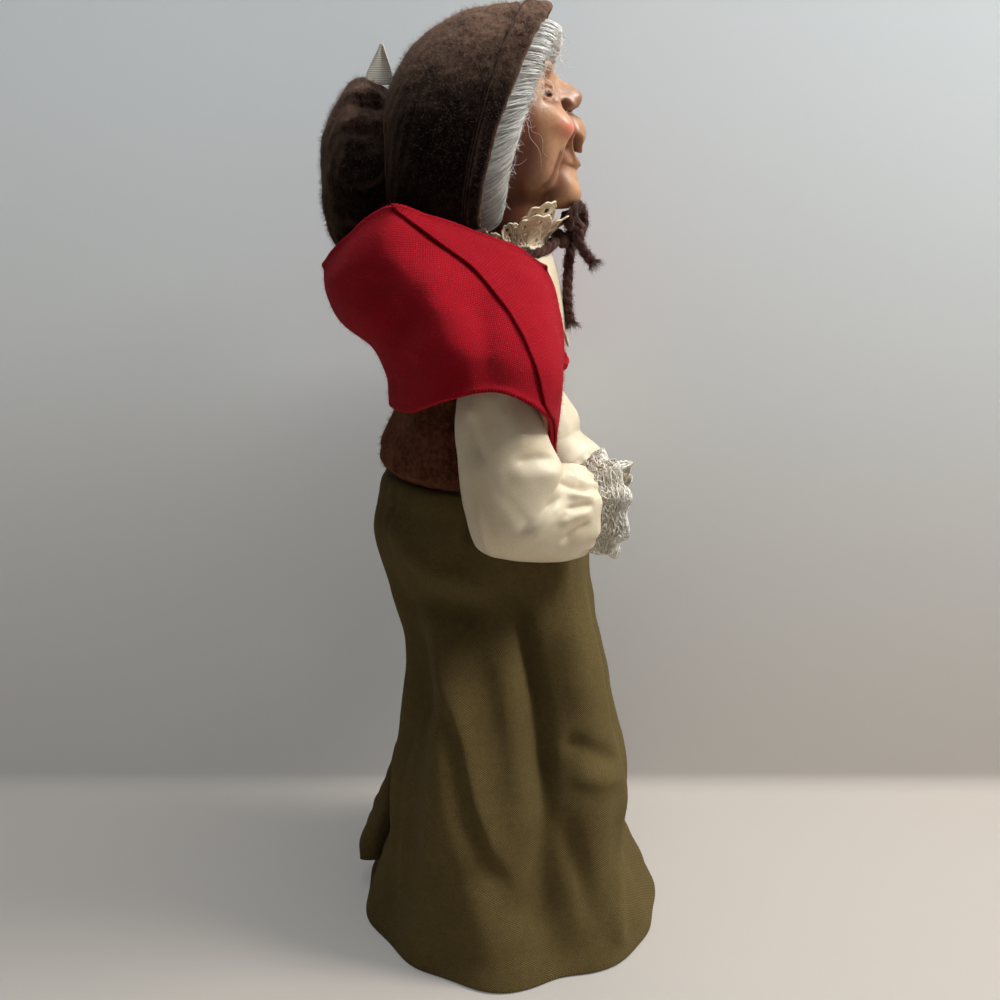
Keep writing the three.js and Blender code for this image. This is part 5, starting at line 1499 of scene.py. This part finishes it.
def make_head():
    """The head: the melted ovals, drawn out to the profile down the middle, with bells for the features, long
    folds, a curved mouth and lidded eyes. Marks carry the paint and the painted shade."""
    v, u = grid(230, 310, True)
    bottom, top = math.radians(-89), math.radians(89)
    even = lerp(bottom, top, v)
    lift = even - 0.28 * np.sin(2 * (even + 0.35))
    lift = bottom + (lift - lift[0, 0]) * (top - bottom) / (lift[-1, 0] - lift[0, 0])
    around = 2 * np.pi * u - np.pi
    turn = around - 0.68 * np.sin(around)
    away, high = np.abs(np.degrees(turn)), np.degrees(lift)
    reach = head_base(toward(turn, lift))
    middle = head_base(toward(0 * lift[:, :1], lift[:, :1]))
    line, width = table_at(PROFILE_SHARES, high[:, :1])
    kept = smoothstep(high[:, :1], -84, -70) * (1 - smoothstep(high[:, :1], 35, 55))
    reach = reach + (line * FACE_REACH - middle) * bell(away / width) * kept
    for at_turn, at_lift, wide, tall, height in FEATURES:
        reach = reach + height * bell((away - at_turn) / wide) * bell((high - at_lift) / tall)
    for route, wide, depth in CREASES:
        reach = reach + depth * bell(near_line(away, high, route) / wide)
    mouth = np.abs(high + 28 - 8 * (away / 13) ** 2) / (1.9 + 1.7 * bell((away - 9.5) / 3.5))
    inside = (1 - smoothstep(mouth, 0.45, 1.1)) * (1 - smoothstep(away, 11.5, 14.5))
    reach = reach - (2.6 + 2.4 * smoothstep(away, 3, 9)) * inside
    reach = reach + 0.7 * bell((mouth - 1.6) / 0.6) * (1 - smoothstep(away, 9, 14))
    lids = bell(np.hypot((away - EYE[0]) / 10, (high - EYE[1]) / 6.5) ** 2)
    reach = lerp(reach, EYE_REACH, 0.85 * lids)
    slit = 1 - ((away - EYE[0]) / 6.4) ** 2 - ((high - EYE[1]) / 2.1) ** 2
    reach = reach - 1.9 * smoothstep(slit, -0.12, 0.3)
    rings = HEAD_CENTRE + toward(turn, lift) * reach[..., None]
    blush = 0.75 * bell((away - 26) / 8.5) * bell((high + 15.5) / 6.5)
    # Painted shade: darker along the folds, on the nose, under the chin, round the jaw and over the eyes; the
    # band round the mouth is reddish-brown lip paint.
    painted_shade_and_lips = sum(0.75 * bell(near_line(away, high, path) / (wide * 1.3)) for path, wide, _ in CREASES)
    painted_shade_and_lips = painted_shade_and_lips + 0.5 * bell(away / 16) * bell((high - 1) / 10)
    painted_shade_and_lips = painted_shade_and_lips + 0.7 * (1 - smoothstep(high, -66, -54))
    painted_shade_and_lips = painted_shade_and_lips + 1.0 * smoothstep(away, 32, 56) * (1 - 0.6 * smoothstep(high, -20, 10))
    round_mouth = bell(mouth / 2.2) * (1 - smoothstep(away, 12, 18))
    painted_shade_and_lips = painted_shade_and_lips + 0.6 * bell((away - 24) / 8) * bell((high - 19) / 5) + 0.4 * round_mouth
    dark = inside + bell((away - 5) / 2.6) * bell((high + 5.6) / 1.8)
    dark = dark + 0.9 * smoothstep(slit, -0.5, 0.0) * (1 - smoothstep(slit, 0.1, 0.5))
    dark = dark + 0.5 * bell(near_line(away, high, [(20, 24), (29, 27.5), (38, 23)]) / 2.4)
    marks = {"blush": blush, "painted_shade_and_lips": np.clip(painted_shade_and_lips, 0, 0.9), "dark": np.clip(dark, 0, 1)}
    piece = body("head_clay", rings, FINISH["skin"], marks)
    dress(piece, "head", "painted_skin", "head")


make_head()


# Bonnet

CROWN_SHARES = [
    [0, 1, 1, 0], [0.25, 1.04, 1, 0.25], [0.5, 1.04, 0.955, 0.49], [0.72, 1, 0.8, 0.72],
    [0.9, 0.9, 0.57, 0.9], [1, 0.77, 0.37, 1],
]
ARCH = math.radians(134)
CROWN_HEIGHT = 290
CROWN_RADIUS = 40
CROWN_HALF_WIDTH = 30
CROWN_FRONT = -14.5
CROWN_DEPTH = 50.5


def crown_point(angle, along, inset):
    """A place on the bonnet at an angle from its top and a share of its depth, inset from its outer
    face. Its brim leans back down its sides."""
    wide, high, back = table_at(CROWN_SHARES, along)
    up = np.where(np.cos(angle) > 0, CROWN_RADIUS * high, CROWN_RADIUS)
    z = CROWN_HEIGHT + (up - inset) * np.cos(angle)
    fall = (CROWN_HEIGHT + CROWN_RADIUS - z) / (CROWN_RADIUS * (1 - math.cos(ARCH)))
    tilt = 22 * (1 - np.abs(1 - np.minimum(fall, 1)) ** 1.6) * (1 - along)
    y = CROWN_FRONT + CROWN_DEPTH * back + tilt
    return np.stack([(CROWN_HALF_WIDTH * wide - inset) * np.sin(angle), y, z], -1)


def make_crown():
    """The felt crown: its brim folded back on itself to a stitched ridge, with soft dents."""
    v, u = grid(110, 220)
    angle = ARCH * (1 - 2 * u)
    step = 1.1 * (1 - smoothstep(v, 0.135, 0.15)) + 0.5 * bell((v - 0.118) / 0.02)
    step = step - 0.7 * bell((v - 0.15) / 0.012) + 0.4 * bell((v - 0.18) / 0.025)
    surface = crown_point(angle, v, -step)
    dents = waves(surface, 13, 61) * 0.35 + waves(surface, 4, 62) * 0.18
    surface = crown_point(angle, v, -step - dents - 0.15)
    thickness = 2.2 + 1.2 * (1 - smoothstep(v, 0.12, 0.15))
    piece = cloth("bonnet_crown_felt", surface, thickness, FINISH["felt"])
    dress(piece, "head", "bonnet_felt", "bonnet_crown")
    nap = fuzz("bonnet_crown_nap", surface, 11000, 63, 1.9, FINISH["felt_fibre"], lean=0.2, rise=0.6,
               radius=0.045)
    dress(nap, "head", "bonnet_felt")


make_crown()


POUCH_START = 36.3
POUCH_LENGTH = 23
POUCH_CENTRE = 280
POUCH_HALF_WIDTH = 23
POUCH_HALF_HEIGHT = 29
POUCH_SHARES = [
    [0, 0.95, 0.75, -0.07], [0.1, 0.98, 0.87, -0.01], [0.3, 1, 0.98, 0.03], [0.55, 1, 0.97, 0.05],
    [0.78, 0.86, 0.82, 0.12], [0.93, 0.6, 0.58, 0.16], [1, 0.25, 0.25, 0.16],
]
POUCH_LINES = [
    ("fold", 4, -1.3, [(352, 104), (370, 105), (388, 108)]),
    ("fold", 6, 0.9, [(350, 95), (368, 95), (388, 97)]),
    ("fold", 7, -0.8, [(340, 126), (362, 132), (388, 144)]),
    ("fold", 9, 0.6, [(336, 146), (360, 152), (386, 162)]),
]


def make_pouch():
    """The soft back of the bonnet: a bag whose gathers fan from the crease and fade to its end."""
    v, u = grid(100, 200, True)
    share = np.sin(0.5 * np.pi * v)
    wide, high, drop = table_at(POUCH_SHARES, share)
    angle = 2 * np.pi * u
    gather = 0.8 * (1 - share) * np.cos(12 * angle)
    fold = 1.0 * smoothstep(share, 0, 0.08) * (1 - smoothstep(share, 0.35, 0.8))
    gather = gather + fold * (0.6 * np.cos(17 * angle + 1) + 0.4 * np.cos(29 * angle)) * 0.7
    y = POUCH_START + POUCH_LENGTH * share
    x = (POUCH_HALF_WIDTH * wide + gather) * np.cos(angle)
    centre = POUCH_CENTRE - POUCH_HALF_HEIGHT * drop
    z = centre + (POUCH_HALF_HEIGHT * high + gather) * np.sin(angle)
    rings = np.stack([x, y, z], -1)
    out = unit(rings - [0, 44, POUCH_CENTRE])
    dents = waves(rings, 12, 71) * 0.5 + waves(rings, 4, 72) * 0.2
    dents = dents + smoothstep(-x, 2, 12) * drape(rings, POUCH_LINES)
    rings = rings + out * (dents * smoothstep(share, 0, 0.1))[..., None]
    piece = body("bonnet_pouch_felt", rings, FINISH["pouch"])
    dress(piece, "head", "bonnet_felt", "bonnet_pouch")
    nap = fuzz("bonnet_pouch_nap", rings, 8000, 73, 1.9, FINISH["felt_fibre"], True, lean=0.2, rise=0.6,
               radius=0.045)
    dress(nap, "head", "bonnet_felt")


make_pouch()


RIBBON_FOOT = 306.5
RIBBON_TALL = 12
RIBBON_WIDTH = 9
RIBBON_BACK = 38.4
# The ribbon's two edges: a share of its height, and a place as a share of its width.
RIBBON_FRONT_SHARES = [[0, -0.35], [0.4, -0.28], [1, -0.02]]
RIBBON_REAR_SHARES = [[0, 0.65], [0.35, 0.5], [1, 0.02]]


def make_ribbon():
    """A flat pointed ribbon end that stands in the crease, of two layers, ribbed across."""
    finish = Finish("cream_ribbon")
    at, _, down = finish.along()
    rib = finish.sums("SINE", down * (2 * math.pi / 0.7)) * 0.5 + 0.5
    grain = finish.noise(at, 0.6, 3, scale=1.0)
    colour = finish.mix(rib * 0.5 + grain * 0.5, shade(226, 220, 200), shade(250, 246, 232))
    ribbed = finish.surface(colour, 0.5, Normal=finish.relief(rib, 0.06), Sheen_Weight=0.2)
    for k, (shift, lean) in enumerate(((0.0, 0.0), (0.55, 0.4))):
        v, u = grid(60, 24)
        front = table_at(RIBBON_FRONT_SHARES, v)[0]
        rear = table_at(RIBBON_REAR_SHARES, v)[0]
        y = RIBBON_BACK + RIBBON_WIDTH * lerp(front, rear, u) + lean
        z = RIBBON_FOOT + RIBBON_TALL * v
        x = -0.25 + shift + 0.5 * np.sin(3 * v) * u + 0.3 * np.sin(5 * u)
        piece = cloth(f"ribbon_tail_layer_{k}", np.stack([x, y, z], -1), 0.35, ribbed)
        dress(piece, "head", "cream_ribbon", "ribbon_tail")


make_ribbon()


# Hair

# How far the hair runs past the ends of the bonnet's arch, for the roll and for its strands.
ROLL_ARCH = ARCH * 1.06
STRAND_ARCH = ARCH * 1.12


def hair_point(angle, turn, lift):
    """A place on the roll of hair inside the brim: round its section by turn, lifted off it. The
    roll lies deeper under the brim at the top, and is thinner down the sides."""
    low = smoothstep(np.abs(angle) / ARCH, 0.15, 0.9)
    inset = lerp(4.6, 2.9, low) + 3.2 * (1 - np.sin(turn)) - lift * np.sin(turn)
    point = crown_point(angle, np.zeros_like(angle), inset)
    point[..., 1] += 1.5 + (lerp(9.6, 9.2, low) + lift) * np.cos(turn)
    point[..., 1] -= 3.2 * bell((angle / ARCH - 0.27) / 0.17) * np.clip(-np.cos(turn), 0, 1)
    return point


def make_hair():
    """The roll, and combed strands laid over it from the brim to the face. They cross it squarely
    at the top and lean ever more along it down the sides."""
    v, u = grid(160, 60, True)
    angle = ROLL_ARCH * (1 - 2 * v)
    rings = hair_point(angle, 2 * np.pi * u, -0.7 + 0.2 * np.sin(90 * v))
    piece = body("hair_roll", rings, FINISH["hair"], {"shade": 0.2 + 0 * v})
    dress(piece, "head", "white_hair", "hair")
    rng = np.random.default_rng(81)
    count, steps = 4600, 9
    start = STRAND_ARCH * rng.uniform(-1, 1, (count, 1))
    t = np.linspace(0, 1, steps)[None]
    stop = rng.uniform(0.98, 1.32, (count, 1)) + 0.12 * rng.gamma(1.2, 0.5, (count, 1))
    turn = np.pi * lerp(rng.uniform(0.3, 0.5, (count, 1)), stop, t)
    low = smoothstep(np.abs(start) / ARCH, 0.2, 1.0)
    slant = lerp(0.02, 0.40, low) * rng.uniform(0.7, 1.25, (count, 1))
    slant = slant + rng.normal(0, 0.03, (count, 1))
    lock = 0.02 * np.sin(43 * start + 5 * t) + 0.012 * np.sin(97 * start - 4 * t)
    angle = start - np.sign(start) * slant * t**1.15 + lock * t
    lift = rng.uniform(-0.5, 0.55, (count, 1)) + 0.25 * np.sin(61 * start)
    lift = lift + 0.6 * t**3 * rng.normal(0, 1.0, (count, 1))
    paths = hair_point(np.clip(angle, -STRAND_ARCH, STRAND_ARCH), turn, lift)
    sway = rng.normal(size=(count, 1, 3)) * np.sin(8 * t + rng.uniform(0, 6, (count, 1)))[..., None]
    paths = paths + 0.12 * sway
    taper = np.array([0.6, *[1.0] * (steps - 4), 0.8, 0.5, 0.2])
    radii = 0.095 * taper * rng.uniform(0.6, 1.4, (count, 1))
    piece = strands("hair_strands", paths, radii, 3, FINISH["hair"], {"shade": rng.random(count)})
    dress(piece, "head", "white_hair")


def curls(name, count, seed, reach, radius, thick, span, spread, drop):
    """Loose curls: each leaves the roll's inner edge and winds on a helix that drifts forward, out
    and down."""
    rng = np.random.default_rng(seed)
    steps = 18
    side = np.where(rng.random((count, 1)) < 0.6, -1.0, 1.0)
    start = side * ARCH * rng.uniform(*span, (count, 1))
    t = np.linspace(0, 1, steps)[None]
    root = hair_point(start, np.pi * rng.uniform(0.9, 1.4, (count, 1)), 0.2)
    length = reach * rng.gamma(2.0, 0.5, (count, 1))
    heading = np.concatenate([side * 0.25, -0.8 + 0 * side, -drop + 0 * side], 1)
    heading = unit(heading + spread * rng.normal(size=(count, 3)))[:, None]
    swing = radius * rng.uniform(0.4, 1.3, (count, 1)) * np.minimum(2.5 * t, 1)
    rounds = rng.uniform(4, 13, (count, 1)) * t + rng.uniform(0, 6, (count, 1))
    first = unit(np.cross(heading, [0.3, 0.2, 1.0]))
    second = np.cross(heading, first)
    paths = root + heading * (length * t)[..., None]
    paths = paths + first * (swing * np.cos(rounds))[..., None]
    paths = paths + second * (swing * np.sin(rounds))[..., None]
    paths[..., 2] -= drop * 0.35 * length * t**2
    radii = thick * np.linspace(1, 0.4, steps)[None] * rng.uniform(0.6, 1.3, (count, 1))
    piece = strands(name, paths, radii, 3, FINISH["hair"], {"shade": 0.3 + 0.7 * rng.random(count)})
    dress(piece, "head", "white_hair")


def make_wisps():
    """Frizz along the inner edge, curls over brow, temple and eye, and long thin ones on the cheek."""
    curls("hair_frizz", 950, 91, 1.8, 0.45, 0.06, (0.0, 0.98), 0.9, 0.1)
    curls("hair_curls", 330, 92, 3.2, 0.9, 0.07, (0.25, 0.6), 0.6, 0.2)
    curls("hair_wisps", 26, 93, 5.0, 0.9, 0.06, (0.4, 0.66), 0.35, 0.9)


make_hair()
make_wisps()


# Tie knot


# Turns of the knot: tilt and phase in radians, size, how far forward, and height.
KNOT_TURNS = [
    (0.5, 0.0, 1.0, 20.5, 257.5), (-0.6, 1.3, 1.0, 20.5, 257.5),
    (0.9, 0.4, 1.35, 24.2, 262.2), (-0.2, 2.0, 1.3, 25.2, 263.2),
]


def make_knot():
    """The knot: crossing turns of the yarn, two at the neck and two at the bow."""
    steps, sides = 90, 20
    t = np.linspace(0, 1, steps)
    turns = []
    for tilt, phase, size, forward, height in KNOT_TURNS:
        angle = 2 * np.pi * t + phase
        x = 1.9 * size * np.cos(angle)
        y = 1.6 * size * np.sin(angle)
        z = 1.5 * size * np.sin(angle + tilt) + tilt
        turns.append(np.stack([x, y - forward, z + height], -1))
    paths = np.stack(turns)
    lobes = np.abs(np.cos(1.5 * (2 * np.pi * np.arange(sides) / sides)[None] + 18 * t[:, None]))
    radii = np.broadcast_to(1.6 * (0.8 + 0.24 * lobes), (len(turns), steps, sides))
    piece = strands("tie_knot_yarn", paths, radii, sides, FINISH["yarn"])
    dress(piece, "head", "brown_yarn", "tie_knot")


make_knot()


# Pieces that keep their solid and get a finish

PLAIN_NODES = {
    "wood": ["base_disc"],
    "leather": ["shoe_right", "shoe_left"],
    "wire": ["leg_wire_right", "leg_wire_left", "spine_wire", "shoulder_wire"],
    "paper": ["leg_right", "leg_left", "body_core", "neck", "upper_arm_right", "upper_arm_left",
              "forearm_right", "forearm_left"],
    "skin": ["hand_right", "hand_left"],
    "eye": ["eye_right", "eye_left"],
    "olive": ["skirt_waistband"],
}
for key, names in PLAIN_NODES.items():
    for name in names:
        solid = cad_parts[name]
        solid.data.materials.clear()
        solid.data.materials.append(FINISH[key])


# Stage, light and world


STAGE_REACH = 1500
STAGE_BACK = 66
STAGE_BEND = 8
STAGE_TOP = 1200
EVEN_SHARE = 0.22


def stage_finish():
    """Paper, with painted light: a darker warm grey on the floor and low on the wall, lighter and cooler up
    the wall. To the camera, in mirrors and through glass a share of it is an even pale tone, and from behind
    the camera looks through it."""
    finish = Finish("stage_paper")
    cloud = finish.noise(finish.place(), 300, 2)
    low = finish.mix(cloud, shade(186, 176, 165), shade(194, 184, 173))
    # Painted light: darker and warmer low down, lighter and cooler up the wall, as if the overhead lamps fell
    # off towards the floor.
    colour = finish.mix(finish.height(0.0, 0.34), low, shade(232, 240, 244))
    lit = finish.shader(colour, 0.9, Specular_IOR_Level=0.1)
    even = finish.node("ShaderNodeEmission", None, {"Color": (0.66, 0.68, 0.68, 1)})
    camera, glossy, glass = (
        finish.node("ShaderNodeLightPath", out=f"Is {kind} Ray")
        for kind in ("Camera", "Glossy", "Transmission")
    )
    share = (camera + glossy + glass) * EVEN_SHARE
    both = finish.node("ShaderNodeMixShader", None, {0: share, 1: lit, 2: even})
    behind = finish.node("ShaderNodeNewGeometry", out="Backfacing") * camera
    clear = finish.node("ShaderNodeBsdfTransparent")
    return finish.finished(finish.node("ShaderNodeMixShader", None, {0: behind, 1: both, 2: clear}))


def make_stage():
    """The floor, a quarter-round bend and the wall: one profile carried from side to side."""
    bend = np.linspace(0, np.pi / 2, 12)[1:, None]
    bend = np.hstack([STAGE_BACK + STAGE_BEND * np.sin(bend), STAGE_BEND - STAGE_BEND * np.cos(bend)])
    floor = [(-STAGE_REACH, 0), (60, 0), (STAGE_BACK, 0)]
    line = np.concatenate([floor, bend, [(STAGE_BACK + STAGE_BEND, STAGE_TOP)]])
    x, y = np.meshgrid(line[:, 0], np.linspace(STAGE_REACH, -STAGE_REACH, 3), indexing="ij")
    points = np.stack([x, y, np.repeat(line[:, 1:], 3, 1)], -1)
    faces = grid_faces(len(line), 3, False, False)[0]
    make_piece("stage_floor", points, [faces], stage_finish())


def lamp(name, place, target, size, power, colour=(1, 1, 1)):
    """A round area lamp at a place, aimed at a target."""
    light = bpy.data.lights.new(name, "AREA")
    light.shape, light.size, light.energy, light.color = "DISK", size, power, colour
    holder = bpy.data.objects.new(name, light)
    holder.location = place
    way = np.array(target) - np.array(place)
    fall = math.acos(-way[2] / np.linalg.norm(way))
    holder.rotation_euler = (fall, 0, math.atan2(way[1], way[0]) - math.pi / 2)
    bpy.context.scene.collection.objects.link(holder)


def light_scene():
    """A soft key lamp above the doll's front, a larger lamp overhead, and a dim world."""
    world = bpy.data.worlds.new("world")
    world.use_nodes = True
    background = world.node_tree.nodes["Background"]
    background.inputs[0].default_value = (0.93, 0.96, 1.0, 1)
    background.inputs[1].default_value = 0.1
    bpy.context.scene.world = world
    lamp("key", (-0.1, -0.62, 0.8), (0, 0, 0.2), 0.3, 7.8, (1, 0.985, 0.95))
    lamp("top", (0.06, -0.12, 1.1), (0, 0, 0.2), 0.7, 8.2, (0.97, 0.985, 1))
    bpy.context.scene.view_settings.view_transform = "Standard"


make_stage()
light_scene()
